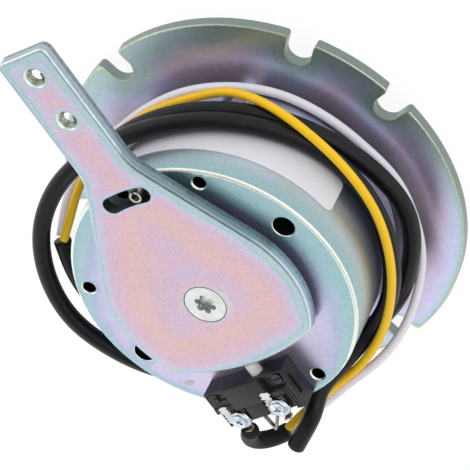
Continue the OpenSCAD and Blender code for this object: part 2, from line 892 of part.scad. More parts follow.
module terminal_plates() {
    t = terminal_plate_t;
    tab_y = -terminal_y() - terminal_tab_reach;
    color([0.8, 0.78, 0.7]) switch_place()
        for (x = terminal_xs())
            translate([0, 0, ledge_z() + fit]) {
                difference() {
                    union() {
                        translate([x - terminal_plate_w / 2, -terminal_y() - terminal_plate_h / 2, 0])
                            cube([terminal_plate_w, terminal_plate_h, t]);
                        translate([x - terminal_tab_w / 2, tab_y, 0])
                            cube([terminal_tab_w, terminal_tab_reach - terminal_screw_d, t]);
                        translate([x - terminal_tab_w / 2, tab_y, 0])
                            cube([terminal_tab_w, t, terminal_tab_rise]);
                    }
                    translate([x, -terminal_y(), -cut])
                        cylinder(d = terminal_hole_d(), h = t + 2 * cut, $fn = 32);
                }
            }
}

module terminal_clamps() {
    z = ledge_z() + terminal_plate_t + 2 * fit;
    reach = terminal_head_d / 2 + clamp_tooth_reach;
    color([0.9, 0.9, 0.88]) switch_place()
        for (x = terminal_xs())
            translate([x, -terminal_y(), z]) difference() {
                union() {
                    cylinder(d = terminal_head_d - thin, h = clamp_t, $fn = 12);
                    for (y = [-clamp_tooth_y, clamp_tooth_y])
                        translate([-reach, y - clamp_tooth_w / 2, 0])
                            cube([reach - terminal_screw_d / 2, clamp_tooth_w, clamp_t]);
                }
                translate([0, 0, -cut])
                    cylinder(d = terminal_hole_d(), h = clamp_t + 2 * cut, $fn = 32);
            }
}

module terminal_screws() {
    z = ledge_z() + terminal_plate_t + clamp_t + 3 * fit;
    r = terminal_head_d / 2;
    round_r = terminal_head_round;
    color([0.72, 0.76, 0.78]) switch_place()
        for (x = terminal_xs())
            translate([x, -terminal_y(), z]) difference() {
                union() {
                    rotate_extrude() polygon(concat(
                        [[0, 0], [r, 0]],
                        [for (a = [0 : 15 : 90])
                            [r - round_r, terminal_head_h - round_r] + round_r * [cos(a), sin(a)]],
                        [[0, terminal_head_h]]
                    ));
                    translate([0, 0, -terminal_screw_len])
                        cylinder(d = terminal_screw_d, h = terminal_screw_len + fit, $fn = 32);
                }
                for (turn = [0, 90])
                    rotate(turn + terminal_recess_turn)
                        translate([-terminal_recess_l / 2, -terminal_recess_w / 2,
                                   terminal_head_h - terminal_recess_depth])
                            cube([terminal_recess_l, terminal_recess_w, 2 * terminal_recess_depth]);
            }
}

/* Leads */

// Route points are [distance outside the body's side, direction, level]
coil_lead_route = [
    [-12, 125, 36], [4, 104, 36], [5.1, 96, 35.4], [4.7, 80, 34], [4.7, 62, 32.6],
    [4.5, 44, 30], [4.3, 26, 26.6], [4.3, 8, 23.2], [5.5, -10, 19.8], [8.9, -28, 19],
    [8.1, -46, 19], [7.3, -70, 19], [6.9, -94, 20], [8.5, -118, 26], [12.1, -142, 34],
    [16.1, -166, 42.5], [19.3, -190, 47.6], [19.9, -208, 48], [18.1, -226, 46.6],
    [14.3, -243, 44.4], [9.7, -260, 42.4], [6.5, -277, 41.2], [5.5, -295, 40.4],
    [5.3, -313, 38], [4.9, -331, 34.6], [4.8, -349, 31.6], [4.7, -367, 30.8],
    [4.5, -385, 31.4], [4.3, -403, 31.8], [4.5, -421, 31], [4.5, -437, 31.6],
    [4.2, -449, 39], [4, -456, 48], [4.5, -459, 54.5], [8.3, -460.5, 60],
    [12.5, -466, 62.6], [18.7, -472, 64.5]
];
switch_lead_route = [
    [11.5, 138, 43], [9.1, 152, 45], [6.1, 168, 45.4], [4.9, 188, 43],
    [4.9, 210, 41], [4.9, 232, 40.5]
];
yellow_wire_route = [
    [10.3, 137.6, 44.3], [8.7, 131, 39.6], [8.5, 121, 30.5], [5, 109, 24.5],
    [2.9, 95, 21.6], [2.5, 79, 21.2], [2.7, 63, 20.4], [7.1, 47, 22.2], [10.1, 32, 28.2],
    [10.5, 15, 34], [8.7, -2, 35.4], [7.5, -19, 36.4], [6.1, -37, 37.4], [5.9, -55, 37.4],
    [7.7, -73, 36.8], [9.9, -88, 39], [9.9, -98, 43.5], [9.7, -104, 51],
    [11.8, -111, 56], [14.5, -115, 58]
];
white_wire_route = [
    [12.6, 137.6, 41.5], [12.9, 128, 31], [9, 115, 20.5], [4, 101, 16.4],
    [2.7, 85, 16], [2.7, 68, 14.8], [2.7, 50, 13.4], [2.7, 32, 11.8],
    [2.7, 14, 11.8], [3.1, -4, 11.4], [6.5, -24, 11.2], [9.9, -48, 12.6],
    [12.9, -64, 17.6], [14.7, -74, 25.6], [14.7, -84, 33.6], [13.4, -97, 41],
    [14.7, -106.5, 48], [15.5, -112, 53.4], [17.9, -115.6, 56.5]
];
sleeve_route = [
    [16.2, -115.3, 57.3], [17.9, -120.2, 59.4], [16.7, -124.6, 62.6],
    [10.9, -125.4, 66.8], [4.3, -122, 70]
];

function route_points(route) = [for (p = route) polar(body_r + p[0], p[1], p[2])];

// Direction of travel at point i of a route
function heading(pts, i) =
    unit(pts[min(i + 1, len(pts) - 1)] - pts[max(i - 1, 0)]);

// Side vector of each ring, carried along the route with no twist
function side_vectors(pts, i = 0, side = undef, done = []) =
    i == len(pts) ? done :
    let (t = heading(pts, i),
         start = side == undef ? cross(t, [0, 0, 1]) : side,
         s = unit(start - (start * t) * t))
        side_vectors(pts, i + 1, s, concat(done, [s]));

// Round lead swept along a route
module lead(route, d, sides) {
    pts = route_points(route);
    side = side_vectors(pts);
    rings = [
        for (i = [0 : len(pts) - 1])
            let (t = heading(pts, i), u = side[i], v = cross(t, u))
                for (j = [0 : sides - 1])
                    let (a = 360 * j / sides)
                        pts[i] + d / 2 * (cos(a) * u + sin(a) * v)
    ];
    polyhedron(rings, tube_faces(len(pts), sides), convexity = 10);
}

module coil_lead() { color([0.1, 0.1, 0.11]) lead(coil_lead_route, lead_d, 10); }
module switch_lead() { color([0.1, 0.1, 0.11]) lead(switch_lead_route, lead_d, 10); }
module yellow_wire() { color([0.95, 0.75, 0.05]) lead(yellow_wire_route, wire_d, 8); }
module white_wire() { color([0.9, 0.9, 0.92]) lead(white_wire_route, wire_d, 8); }
module wire_sleeve() { color([0.12, 0.12, 0.13]) lead(sleeve_route, sleeve_d, 10); }

mounting_plate();
rotor_carrier();
lining_rear();
lining_front();
shaft_hub();
armature_plate();
magnet_body();
coil_bobbin();
coil_winding();
brake_springs();
spacer_posts();
post_screws();
release_spindle();
drive_pins();
star_screw();
release_lever();
ramp_balls();
stop_pin();
label();
switch_base();
switch_cover();
switch_plunger();
switch_fixings();
terminal_plates();
terminal_clamps();
terminal_screws();
coil_lead();
switch_lead();
yellow_wire();
white_wire();
wire_sleeve();
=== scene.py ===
"""Looks of a spring-applied motor brake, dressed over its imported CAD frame.

Every length is in metres unless a name ends in _mm. Each sub-assembly of the brake is a class
that builds its own pieces, and each finish is a frozen dataclass that builds one material.
"""

from __future__ import annotations

import json
import logging
import math
from collections.abc import Iterable, Sequence
from dataclasses import dataclass, field
from enum import Enum

import bmesh
import bpy
from mathutils import Matrix, Vector
from mathutils.kdtree import KDTree

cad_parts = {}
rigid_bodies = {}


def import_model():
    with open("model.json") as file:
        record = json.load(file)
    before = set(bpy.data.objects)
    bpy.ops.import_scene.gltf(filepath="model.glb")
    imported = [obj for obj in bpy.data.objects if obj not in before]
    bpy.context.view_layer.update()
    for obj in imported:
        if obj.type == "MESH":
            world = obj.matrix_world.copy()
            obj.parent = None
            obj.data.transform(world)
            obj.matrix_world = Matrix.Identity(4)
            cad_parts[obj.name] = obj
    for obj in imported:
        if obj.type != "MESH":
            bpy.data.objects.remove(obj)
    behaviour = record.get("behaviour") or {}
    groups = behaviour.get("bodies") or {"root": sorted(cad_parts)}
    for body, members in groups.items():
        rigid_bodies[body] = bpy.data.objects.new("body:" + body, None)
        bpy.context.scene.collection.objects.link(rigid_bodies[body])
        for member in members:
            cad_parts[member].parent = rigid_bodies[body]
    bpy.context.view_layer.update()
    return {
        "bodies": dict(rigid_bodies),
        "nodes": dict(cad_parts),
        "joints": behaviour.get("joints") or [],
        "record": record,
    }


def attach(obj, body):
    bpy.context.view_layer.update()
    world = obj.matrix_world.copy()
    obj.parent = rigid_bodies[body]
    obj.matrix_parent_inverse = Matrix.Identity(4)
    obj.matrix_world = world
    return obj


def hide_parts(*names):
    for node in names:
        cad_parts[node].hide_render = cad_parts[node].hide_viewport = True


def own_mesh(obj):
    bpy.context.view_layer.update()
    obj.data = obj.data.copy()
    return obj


LOG = logging.getLogger("motor_brake")
MM = 0.001

# Attributes of the points: distance from the rim, and whether a hole's edge is nearer.
RIM = "rim_mm"
BORE = "bore"
# A hole's edge counts as further away than the outline, and never as nearer than the floor.
HOLE_WEIGHT = 4.0
HOLE_FLOOR_MM = 1.2
RIM_SEEDS = 450

LEVER_TOP_MM = 69.2
BODY_FACE_MM = 61.5
MARK_GAP_MM = 0.01

Colour = tuple[float, float, float]
Stop = tuple[float, Colour]
Spot = tuple[float, float]
Place = tuple[float, float, float]
Ring = tuple[Vector, Matrix, float]
Object = bpy.types.Object
Material = bpy.types.Material
Socket = bpy.types.NodeSocket
Mesh = bmesh.types.BMesh
Vert = bmesh.types.BMVert
Edge = bmesh.types.BMEdge
Face = bmesh.types.BMFace

BLACK: Colour = (0.0, 0.0, 0.0)
WHITE: Colour = (1.0, 1.0, 1.0)


class Body(str, Enum):
    """The rigid bodies that the scene's own pieces ride on."""

    HOUSING = "housing"
    LEVER = "lever"
    PLUNGER = "plunger"


# ---------------------------------------------------------------- shader graphs


class Tree:
    """Node tree with short calls for the nodes that the materials and the world share."""

    def __init__(self, tree: bpy.types.NodeTree) -> None:
        """Empties a node tree."""
        self.tree = tree
        self.tree.nodes.clear()

    def link(self, source: Socket, target: Socket) -> None:
        """Links two sockets."""
        self.tree.links.new(source, target)

    def give(self, value: Socket | Colour | float, socket: Socket) -> None:
        """Links a value to a socket, or sets it there when it is a constant.

        Args:
            value: A socket, a colour or a number.
            socket: The socket that gets it.
        """
        if isinstance(value, Socket):
            self.link(value, socket)
        elif isinstance(value, tuple) and socket.type == "RGBA":
            socket.default_value = (*value, 1.0)
        else:
            socket.default_value = value

    def make(self, kind: str) -> bpy.types.Node:
        """Makes a node, whose kind is Blender's name less the part that all share."""
        return self.tree.nodes.new(f"ShaderNode{kind}")

    def node(self, kind: str, out: int | str, **inputs: Socket | Colour | float) -> Socket:
        """Makes a node and fills its inputs.

        Args:
            kind: Kind of the node.
            out: The output that is wanted.
            **inputs: What its inputs get, underscores standing for spaces.

        Returns:
            The output's socket.
        """
        node = self.make(kind)
        for key, value in inputs.items():
            self.give(value, node.inputs[key.replace("_", " ")])
        return node.outputs[out]

    def ramp(self, factor: Socket, stops: Sequence[Stop], blend: str) -> Socket:
        """Colours along a factor.

        Args:
            factor: Socket with a value from 0 to 1.
            stops: Positions and colours.
            blend: Interpolation between the stops.

        Returns:
            The colour's socket.
        """
        node = self.make("ValToRGB")
        node.color_ramp.interpolation = blend
        elements = node.color_ramp.elements
        while len(elements) < len(stops):
            elements.new(0.5)
        for element, (position, colour) in zip(elements, stops):
            element.position = position
            element.color = (*colour, 1.0)
        self.link(factor, node.inputs["Fac"])
        return node.outputs["Color"]

    def join(self, share: Socket, first: Socket, second: Socket, surface: Socket) -> None:
        """Mixes two shaders onto an output.

        Args:
            share: Share of the second shader.
            first: First shader.
            second: Second shader.
            surface: The output's socket.
        """
        node = self.make("MixShader")
        for socket, source in zip(node.inputs, (share, first, second)):
            self.link(source, socket)
        self.link(node.outputs[0], surface)


class Graph(Tree):
    """Node tree of one material, with short calls for the nodes that the finishes share."""

    def __init__(self, name: str) -> None:
        """Starts an empty material with a Principled shader on its output.

        Args:
            name: Name of the material.
        """
        self.material = bpy.data.materials.new(name)
        self.material.use_nodes = True
        super().__init__(self.material.node_tree)
        self.shader = self.make("BsdfPrincipled")
        self.output = self.make("OutputMaterial")
        self.link(self.shader.outputs["BSDF"], self.output.inputs["Surface"])

    def set(self, **values: Socket | Colour | float) -> None:
        """Gives the shader's own sockets their values, underscores standing for spaces."""
        for key, value in values.items():
            self.give(value, self.shader.inputs[key.replace("_", " ")])

    def place(self) -> Socket:
        """Object coordinates, in metres."""
        return self.node("TexCoord", "Object")

    def attribute(self, name: str) -> Socket:
        """Reads a number that is stored on the mesh's points.

        Args:
            name: Name of the attribute.

        Returns:
            The number's socket.
        """
        node = self.make("Attribute")
        node.attribute_name = name
        return node.outputs["Fac"]

    def axis(self, index: int) -> Socket:
        """One axis of the object coordinates, in metres."""
        return self.node("SeparateXYZ", index, Vector=self.place())

    def normal(self, index: int) -> Socket:
        """One axis of the surface's direction."""
        return self.node("SeparateXYZ", index, Vector=self.node("TexCoord", "Normal"))

    def upright(self) -> Socket:
        """Share of a surface's slope, from 0 when flat to 1 when upright."""
        return self.math("SUBTRACT", 1.0, self.math("ABSOLUTE", self.normal(2)))

    def math(self, operation: str, a: Socket | float, b: Socket | float = 0.0,
             c: Socket | float = 0.0) -> Socket:
        """Makes a Math node.

        Args:
            operation: Blender's name of the operation.
            a: First value or socket.
            b: Second value or socket.
            c: Third value or socket.

        Returns:
            The result's socket.
        """
        node = self.make("Math")
        node.operation = operation
        for socket, value in zip(node.inputs, (a, b, c)):
            self.give(value, socket)
        return node.outputs[0]

    def noise(self, scale: float, detail: float = 3.0, rough: float = 0.5,
              stretch: Place | None = None) -> Socket:
        """Makes noise on the object coordinates.

        Args:
            scale: Cycles per metre.
            detail: Octaves.
            rough: Weight of the finer octaves.
            stretch: Factors on the three axes, for brushed or drawn surfaces.

        Returns:
            The noise factor's socket, from 0 to 1.
        """
        place = self.place()
        if stretch is not None:
            place = self.node("Mapping", 0, Vector=place, Scale=stretch)
        return self.node("TexNoise", "Fac", Vector=place, Scale=scale, Detail=detail,
                         Roughness=rough)

    def scaled(self, depth: Socket, stops: Sequence[Stop], blend: str) -> Socket:
        """Colours along a distance.

        Args:
            depth: Socket of the distance.
            stops: Distances from 0 upward in the same unit, with their colours.
            blend: Interpolation between the stops.

        Returns:
            The colour's socket.
        """
        reach = stops[-1][0]
        shares = [(at / reach, tint) for at, tint in stops]
        return self.ramp(self.math("DIVIDE", depth, reach), shares, blend)

    def window(self, factor: Socket, low: float, high: float) -> Socket:
        """Black below one value of a factor and white above another."""
        return self.ramp(factor, ((low, BLACK), (high, WHITE)), "LINEAR")

    def spread(self, factor: Socket, low: float, high: float) -> Socket:
        """Turns a factor from 0 to 1 into a value from low to high."""
        return self.math("MULTIPLY_ADD", factor, high - low, low)

    def mix(self, factor: Socket | float, a: Socket | Colour, b: Socket | Colour,
            blend: str = "MIX") -> Socket:
        """Mixes two colours.

        Args:
            factor: Share of the second colour.
            a: First colour or socket.
            b: Second colour or socket.
            blend: Blender's name of the blend.

        Returns:
            The mixed colour's socket.
        """
        node = self.make("Mix")
        node.data_type = "RGBA"
        node.blend_type = blend
        for index, value in ((0, factor), (6, a), (7, b)):
            self.give(value, node.inputs[index])
        return node.outputs[2]

    def bump(self, height: Socket, depth: float, strength: float = 1.0) -> None:
        """Gives the shader a bump, depth being its height in metres."""
        self.set(Normal=self.node("Bump", 0, Height=height, Distance=depth, Strength=strength))


@dataclass(frozen=True)
class Finish:
    """A procedural finish.

    Attributes:
        name: Name of its material.
    """

    name: str

    def paint(self, graph: Graph) -> None:
        """Fills the material's graph.

        Args:
            graph: The empty graph of its material.
        """
        raise NotImplementedError

    def material(self) -> Material:
        """The finish's material, made when it is first asked for."""
        if self.name not in bpy.data.materials:
            self.paint(Graph(self.name))
        return bpy.data.materials[self.name]


# The first stops of each ramp, within about 1 mm of the rim, are a painted highlight along the
# rounded edges; the later stops are the film's own colours.
PLATE_STOPS: tuple[Stop, ...] = (
    (0.0, (0.80, 0.84, 0.74)), (0.5, (0.50, 0.60, 0.50)), (1.1, (0.42, 0.60, 0.54)),
    (3.0, (0.52, 0.66, 0.78)), (6.5, (0.62, 0.66, 0.88)), (11.0, (0.66, 0.58, 0.78)),
    (17.0, (0.62, 0.52, 0.61)), (28.0, (0.54, 0.50, 0.57)),
)
BODY_STOPS: tuple[Stop, ...] = (
    (0.0, (1.00, 1.00, 0.92)), (0.7, (0.96, 1.00, 0.90)), (1.1, (0.34, 0.54, 0.54)),
    (3.0, (0.39, 0.57, 0.63)), (7.0, (0.44, 0.50, 0.65)), (11.0, (0.58, 0.56, 0.74)),
    (18.0, (0.66, 0.59, 0.78)), (30.0, (0.68, 0.58, 0.76)),
)
LEVER_STOPS: tuple[Stop, ...] = (
    (0.0, (1.00, 1.00, 1.00)), (0.62, (0.95, 1.00, 1.00)), (1.0, (0.48, 0.64, 0.66)),
    (2.0, (0.42, 0.57, 0.61)), (3.4, (0.56, 0.60, 0.72)), (5.2, (0.64, 0.54, 0.68)),
    (7.5, (0.68, 0.50, 0.61)), (12.0, (0.72, 0.50, 0.54)), (17.0, (0.73, 0.52, 0.50)),
    (22.0, (0.69, 0.50, 0.59)), (28.0, (0.64, 0.51, 0.66)), (38.0, (0.63, 0.52, 0.69)),
)
# Painted shade of the lever's sides that face +X, by place along Y in millimetres; it stands for
# the shade and the dark body face that they reflect.
LEVER_PAINTED_SHADES: tuple[Stop, ...] = (
    (-50.0, (1.00, 1.00, 1.00)), (-15.0, (0.92, 0.94, 1.00)), (12.0, (0.42, 0.46, 0.50)),
    (55.0, (0.36, 0.40, 0.42)), (75.0, (0.62, 0.62, 0.66)), (120.0, (0.78, 0.64, 0.70)),
)
# Its first stops, within 0.9 mm of the rim, are a painted highlight along the rounded front edge.
BODY_SIDE_STOPS: tuple[Stop, ...] = (
    (0.0, (1.00, 1.00, 0.92)), (0.9, (0.96, 1.00, 0.90)), (1.3, (0.34, 0.52, 0.54)),
    (5.0, (0.38, 0.54, 0.58)), (11.0, (0.50, 0.60, 0.66)), (18.0, (0.56, 0.64, 0.78)),
    (30.0, (0.46, 0.52, 0.72)), (40.0, (0.34, 0.29, 0.42)),
)
TORN_STOPS: tuple[Stop, ...] = (
    (0.35, (0.20, 0.27, 0.29)), (0.55, (0.40, 0.52, 0.56)), (0.72, (0.74, 0.86, 0.90)),
)
SPECKLE_STOPS: tuple[Stop, ...] = ((0.30, (0.88, 0.88, 0.88)), (0.62, WHITE))
# Painted highlight on the rounded rims of holes, and painted shade on their steep walls.
BORE_PAINTED_HIGHLIGHT: Colour = (0.95, 1.0, 0.92)
BORE_PAINTED_SHADE: Colour = (0.035, 0.037, 0.036)

# Clouds in the plating: cycles per metre, octaves and share of the finish's cloud_mm.
WIDE_CLOUDS = (28.0, 2.0, 2.0)
SMALL_CLOUDS = (110.0, 3.0, 0.5)
# Growth and start of the painted shade, by the surface's slope and by the place along Y in metres.
SHADE_BY_SLOPE = (5.0, -2.2)
SHADE_BY_PLACE = (-66.0, 4.6)
SHADE_TURN = 4.0
SEAM_WAVE = 0.0012


@dataclass(frozen=True)
class ZincPlating(Finish):
    """Iridescent zinc plating whose film changes colour with the distance from an edge, with
    painted highlights and painted shade.

    Attributes:
        stops: Distances from an edge in millimetres, with their colours; the first ones are a
            painted highlight along the edge.
        rough: Mean roughness.
        metallic: Metallic share of the faces.
        side_metallic: Metallic share of the upright surfaces.
        cloud_mm: How far the clouds shift the colours.
        side: Colour of the upright surfaces.
        side_stops: Colours of the upright surfaces by the distance from the rim, or none; the first
            ones are a painted highlight.
        seam_z: Level below which a cut side is torn, or None.
        drift: Shift of the colours in millimetres for each metre along the three axes.
        floor_mm: Distance below which clouds and drift don't carry the colours.
        swell: Growth of the rim distance for each metre along Y.
        painted_shades: Places along Y in millimetres, with the tints of painted shade on the sides
            that face +X there.
    """

    stops: tuple[Stop, ...] = BODY_STOPS
    rough: float = 0.34
    metallic: float = 0.9
    side_metallic: float = 0.9
    cloud_mm: float = 6.0
    side: Colour = (0.42, 0.58, 0.60)
    side_stops: tuple[Stop, ...] = ()
    seam_z: float | None = None
    drift: Place = (0.0, 0.0, 0.0)
    floor_mm: float = 2.0
    swell: float = 0.0
    painted_shades: tuple[Stop, ...] = ()

    def paint(self, graph: Graph) -> None:
        """Makes the plating from the rim distance, clouds, fine grain and pits.

        Args:
            graph: The empty graph of its material.
        """
        film = graph.scaled(self._depth(graph), self.stops, "LINEAR")
        speckle = graph.ramp(graph.noise(900.0, 2.0, 0.6), SPECKLE_STOPS, "LINEAR")
        graph.set(Base_Color=graph.mix(1.0, self._sided(graph, film), speckle, "MULTIPLY"),
                  Roughness=graph.spread(graph.noise(60.0), self.rough - 0.05, self.rough + 0.05),
                  Metallic=graph.spread(graph.upright(), self.metallic, self.side_metallic))
        graph.bump(graph.noise(900.0, 4.0, 0.6), 0.00002, 0.5)

    def _depth(self, graph: Graph) -> Socket:
        """Works out the distance that sets the film's colour.

        Args:
            graph: The material's graph.

        Returns:
            The distance from the rim in millimetres, shifted by clouds and by the drift.
        """
        rim = graph.attribute(RIM)
        near = graph.math("MINIMUM", graph.math("MULTIPLY", rim, 0.3), 1.0)
        moved = rim
        clouds = (WIDE_CLOUDS, SMALL_CLOUDS)
        if self.swell:
            clouds = (SMALL_CLOUDS,)
            growth = graph.math("MULTIPLY_ADD", graph.axis(1), self.swell, 0.5)
            growth = graph.math("ADD", growth, graph.noise(*WIDE_CLOUDS[:2]))
            moved = graph.math("MULTIPLY", rim, growth)
        for scale, octaves, share in clouds:
            cloud = graph.math("SUBTRACT", graph.noise(scale, octaves), 0.5)
            moved = graph.math("MULTIPLY_ADD", graph.math("MULTIPLY", cloud, near),
                               share * self.cloud_mm, moved)
        for axis, amount in enumerate(self.drift):
            if amount:
                slope = graph.math("MULTIPLY", graph.axis(axis), near)
                moved = graph.math("MULTIPLY_ADD", slope, amount, moved)
        return graph.math("MAXIMUM", moved, graph.math("MINIMUM", rim, self.floor_mm))

    def _sided(self, graph: Graph, film: Socket) -> Socket:
        """Gives the upright surfaces their own colour, with a torn band below the seam, painted
        shade on sides that face +X, a painted highlight on the rounded rims of holes and painted
        shade on their walls.

        Args:
            graph: The material's graph.
            film: Colour socket of the plating.

        Returns:
            The colour socket with the sides.
        """
        share = graph.upright()
        wall = graph.math("MULTIPLY", graph.math("GREATER_THAN", graph.attribute(BORE), 0.5), share)
        paint = graph.mix(share, film, self._side_paint(graph))
        if self.painted_shades:
            paint = self._shaded(graph, paint)
        # Painted highlight on the rounded rims of holes, then painted shade on their steep walls.
        for slope, tint in ((0.12, BORE_PAINTED_HIGHLIGHT), (0.8, BORE_PAINTED_SHADE)):
            paint = graph.mix(graph.math("GREATER_THAN", wall, slope), paint, tint)
        return paint

    def _shaded(self, graph: Graph, paint: Socket) -> Socket:
        """Paints shade on the sides and rounded edges that face +X, by their place along Y,
        standing for the shade and the dark body face that they reflect.

        Args:
            graph: The material's graph.
            paint: Colour socket of the plating.

        Returns:
            The colour socket with the painted shade.
        """
        low = self.painted_shades[0][0]
        place = graph.math("MULTIPLY_ADD", graph.axis(1), 1.0 / MM, -low)
        shade = graph.scaled(place, [(mm - low, tint) for mm, tint in self.painted_shades], "LINEAR")
        steep = graph.math("MULTIPLY_ADD", graph.upright(), *SHADE_BY_SLOPE)
        near = graph.math("MULTIPLY_ADD", graph.axis(1), *SHADE_BY_PLACE)
        share = graph.math("MINIMUM", graph.math("MAXIMUM", steep, near), 1.0)
        facing = graph.math("MULTIPLY", graph.math("MULTIPLY", graph.normal(0), SHADE_TURN), share)
        # Painted shade: the paint is multiplied by the shade's tint where the surface faces +X.
        return graph.mix(facing, paint, graph.mix(1.0, paint, shade, "MULTIPLY"))

    def _side_paint(self, graph: Graph) -> Socket | Colour:
        """Colours the upright surfaces.

        Args:
            graph: The material's graph.

        Returns:
            Their colour, or its socket.
        """
        if self.side_stops:
            return graph.scaled(graph.attribute(RIM), self.side_stops, "EASE")
        if self.seam_z is None:
            return self.side
        level = graph.math("MULTIPLY_ADD", graph.noise(260.0), SEAM_WAVE, graph.axis(2))
        torn = graph.ramp(graph.noise(1100.0, 4.0, 0.8), TORN_STOPS, "LINEAR")
        return graph.mix(graph.math("LESS_THAN", level, self.seam_z), self.side, torn)


@dataclass(frozen=True)
class BareMetal(Finish):
    """Turned, rolled or drawn metal with fine lines and a hazy gloss.

    Attributes:
        tint: Colour of the clean metal.
        shade: Colour in the lines and stains.
        rough: Mean roughness.
        lines: Cycles per metre of the lines.
        stretch: Factors of the three axes on the lines.
        shaded_below_mm: Level below which a recess gets painted shade, or None.
        recess_shade: The two colours of that painted shade.
    """

    tint: Colour = (0.72, 0.74, 0.75)
    shade: Colour = (0.50, 0.53, 0.55)
    rough: float = 0.28
    lines: float = 900.0
    stretch: Place = (1.0, 1.0, 6.0)
    shaded_below_mm: float | None = None
    recess_shade: tuple[Colour, Colour] = ((0.42, 0.45, 0.44), (0.64, 0.67, 0.66))

    def paint(self, graph: Graph) -> None:
        """Makes the metal from stretched noise.

        Args:
            graph: The empty graph of its material.
        """
        lines = graph.noise(self.lines, 3.0, 0.6, self.stretch)
        stains = graph.noise(120.0)
        colour = graph.mix(graph.window(lines, 0.35, 0.65), self.shade, self.tint)
        colour = graph.mix(graph.spread(stains, 0.0, 0.35), colour, self.shade)
        # Painted shade: everything below the level takes darker colours, standing for shade in a
        # recess.
        if self.shaded_below_mm is not None:
            below = graph.math("LESS_THAN", graph.axis(2), self.shaded_below_mm * MM)
            colour = graph.mix(below, colour, graph.mix(stains, *self.recess_shade))
        graph.set(Base_Color=colour, Metallic=1.0,
                  Roughness=graph.spread(stains, self.rough - 0.08, self.rough + 0.12))
        graph.bump(lines, 0.00001, 0.4)


@dataclass(frozen=True)
class MouldedPlastic(Finish):
    """Glass-filled moulded plastic with a spark-eroded grain.

    Attributes:
        tint: Colour of the plastic.
        rough: Mean roughness.
        grain_depth: Height of the grain.
    """

    tint: Colour = (0.022, 0.022, 0.024)
    rough: float = 0.42
    grain_depth: float = 0.00002

    def paint(self, graph: Graph) -> None:
        """Makes the plastic from a fine grain and faint flow marks.

        Args:
            graph: The empty graph of its material.
        """
        flow = graph.spread(graph.noise(180.0, 4.0, 0.6), 0.0, 0.6)
        paler = tuple(min(1.0, value * 1.6 + 0.01) for value in self.tint)
        graph.set(Base_Color=graph.mix(flow, self.tint, paler),
                  Roughness=graph.spread(graph.noise(700.0), self.rough - 0.06, self.rough + 0.10))
        graph.bump(graph.noise(2600.0, 3.0, 0.7), self.grain_depth, 0.6)


@dataclass(frozen=True)
class LeadSkin(Finish):
    """Extruded jacket of a lead, with draw lines along it and dust in its dents, which also paints
    a sheen.

    Attributes:
        tint: Colour of the jacket.
        dust: Colour of the dust and scuffed patches, which also stand for a painted sheen.
        rough: Mean roughness.
        dust_and_sheen: Share of the dust colour on the surface, both real dust and painted sheen.
        gloss: Specular level.
    """

    tint: Colour = (0.004, 0.004, 0.005)
    dust: Colour = (0.026, 0.026, 0.029)
    rough: float = 0.34
    dust_and_sheen: float = 0.35
    gloss: float = 0.28

    def paint(self, graph: Graph) -> None:
        """Makes the jacket from noise drawn out along the lead.

        Args:
            graph: The empty graph of its material.
        """
        # The paler patches are dust and scuffed wear, and also a painted sheen.
        scuffs_and_sheen = graph.window(graph.noise(420.0, 4.0, 0.65), 0.50, 0.75)
        share = graph.math("MULTIPLY", scuffs_and_sheen, self.dust_and_sheen)
        graph.set(Base_Color=graph.mix(share, self.tint, self.dust), Specular_IOR_Level=self.gloss,
                  Roughness=graph.spread(graph.noise(90.0), self.rough - 0.08, self.rough + 0.14))
        ripple = graph.math("MULTIPLY_ADD", graph.noise(500.0), 0.3, graph.noise(70.0, 2.0))
        graph.bump(ripple, 0.00012, 0.5)


@dataclass(frozen=True)
class LabelFilm(Finish):
    """Bare pale film with a satin face, slightly wavy over its glue.

    Attributes:
        tint: Colour of the film.
        paler: Colour where it lies on a wave.
    """

    tint: Colour = (0.78, 0.78, 0.84)
    paler: Colour = (0.88, 0.88, 0.89)

    def paint(self, graph: Graph) -> None:
        """Makes the film.

        Args:
            graph: The empty graph of its material.
        """
        wave = graph.noise(55.0)
        graph.set(Base_Color=graph.mix(graph.spread(wave, 0.0, 0.5), self.tint, self.paler),
                  Roughness=graph.spread(wave, 0.34, 0.5))
        graph.bump(graph.math("MULTIPLY_ADD", graph.noise(1500.0, 2.0), 0.1, wave), 0.00006, 0.4)


@dataclass(frozen=True)
class FrictionPad(Finish):
    """Pressed friction lining with fibres and metal flecks.

    Attributes:
        stops: Colours of the binder, the fibres and the flecks along the noise.
    """

    stops: tuple[Stop, ...] = (
        (0.45, (0.10, 0.085, 0.075)), (0.62, (0.20, 0.17, 0.14)), (0.72, (0.55, 0.45, 0.30)))

    def paint(self, graph: Graph) -> None:
        """Makes the lining.

        Args:
            graph: The empty graph of its material.
        """
        graph.set(Base_Color=graph.ramp(graph.noise(1700.0, 3.0, 0.7), self.stops, "LINEAR"),
                  Roughness=graph.spread(graph.noise(900.0), 0.7, 0.95))
        graph.bump(graph.noise(1300.0, 4.0, 0.7), 0.00008, 0.7)


@dataclass(frozen=True)
class CopperWire(Finish):
    """Enamelled winding whose turns lie in close rows.

    Attributes:
        pitch: Distance between two rows.
        gap: Colour between the rows.
        tint: Colour of the enamel.
    """

    pitch: float = 0.0005
    gap: Colour = (0.20, 0.07, 0.03)
    tint: Colour = (0.62, 0.26, 0.12)

    def paint(self, graph: Graph) -> None:
        """Makes the winding from bands along the axis.

        Args:
            graph: The empty graph of its material.
        """
        ridge = graph.math("DIVIDE", graph.math("PINGPONG", graph.axis(2), self.pitch), self.pitch)
        graph.set(Base_Color=graph.mix(ridge, self.gap, self.tint), Metallic=0.8,
                  Roughness=graph.spread(graph.noise(300.0), 0.25, 0.4))
        graph.bump(ridge, 0.0001, 0.8)


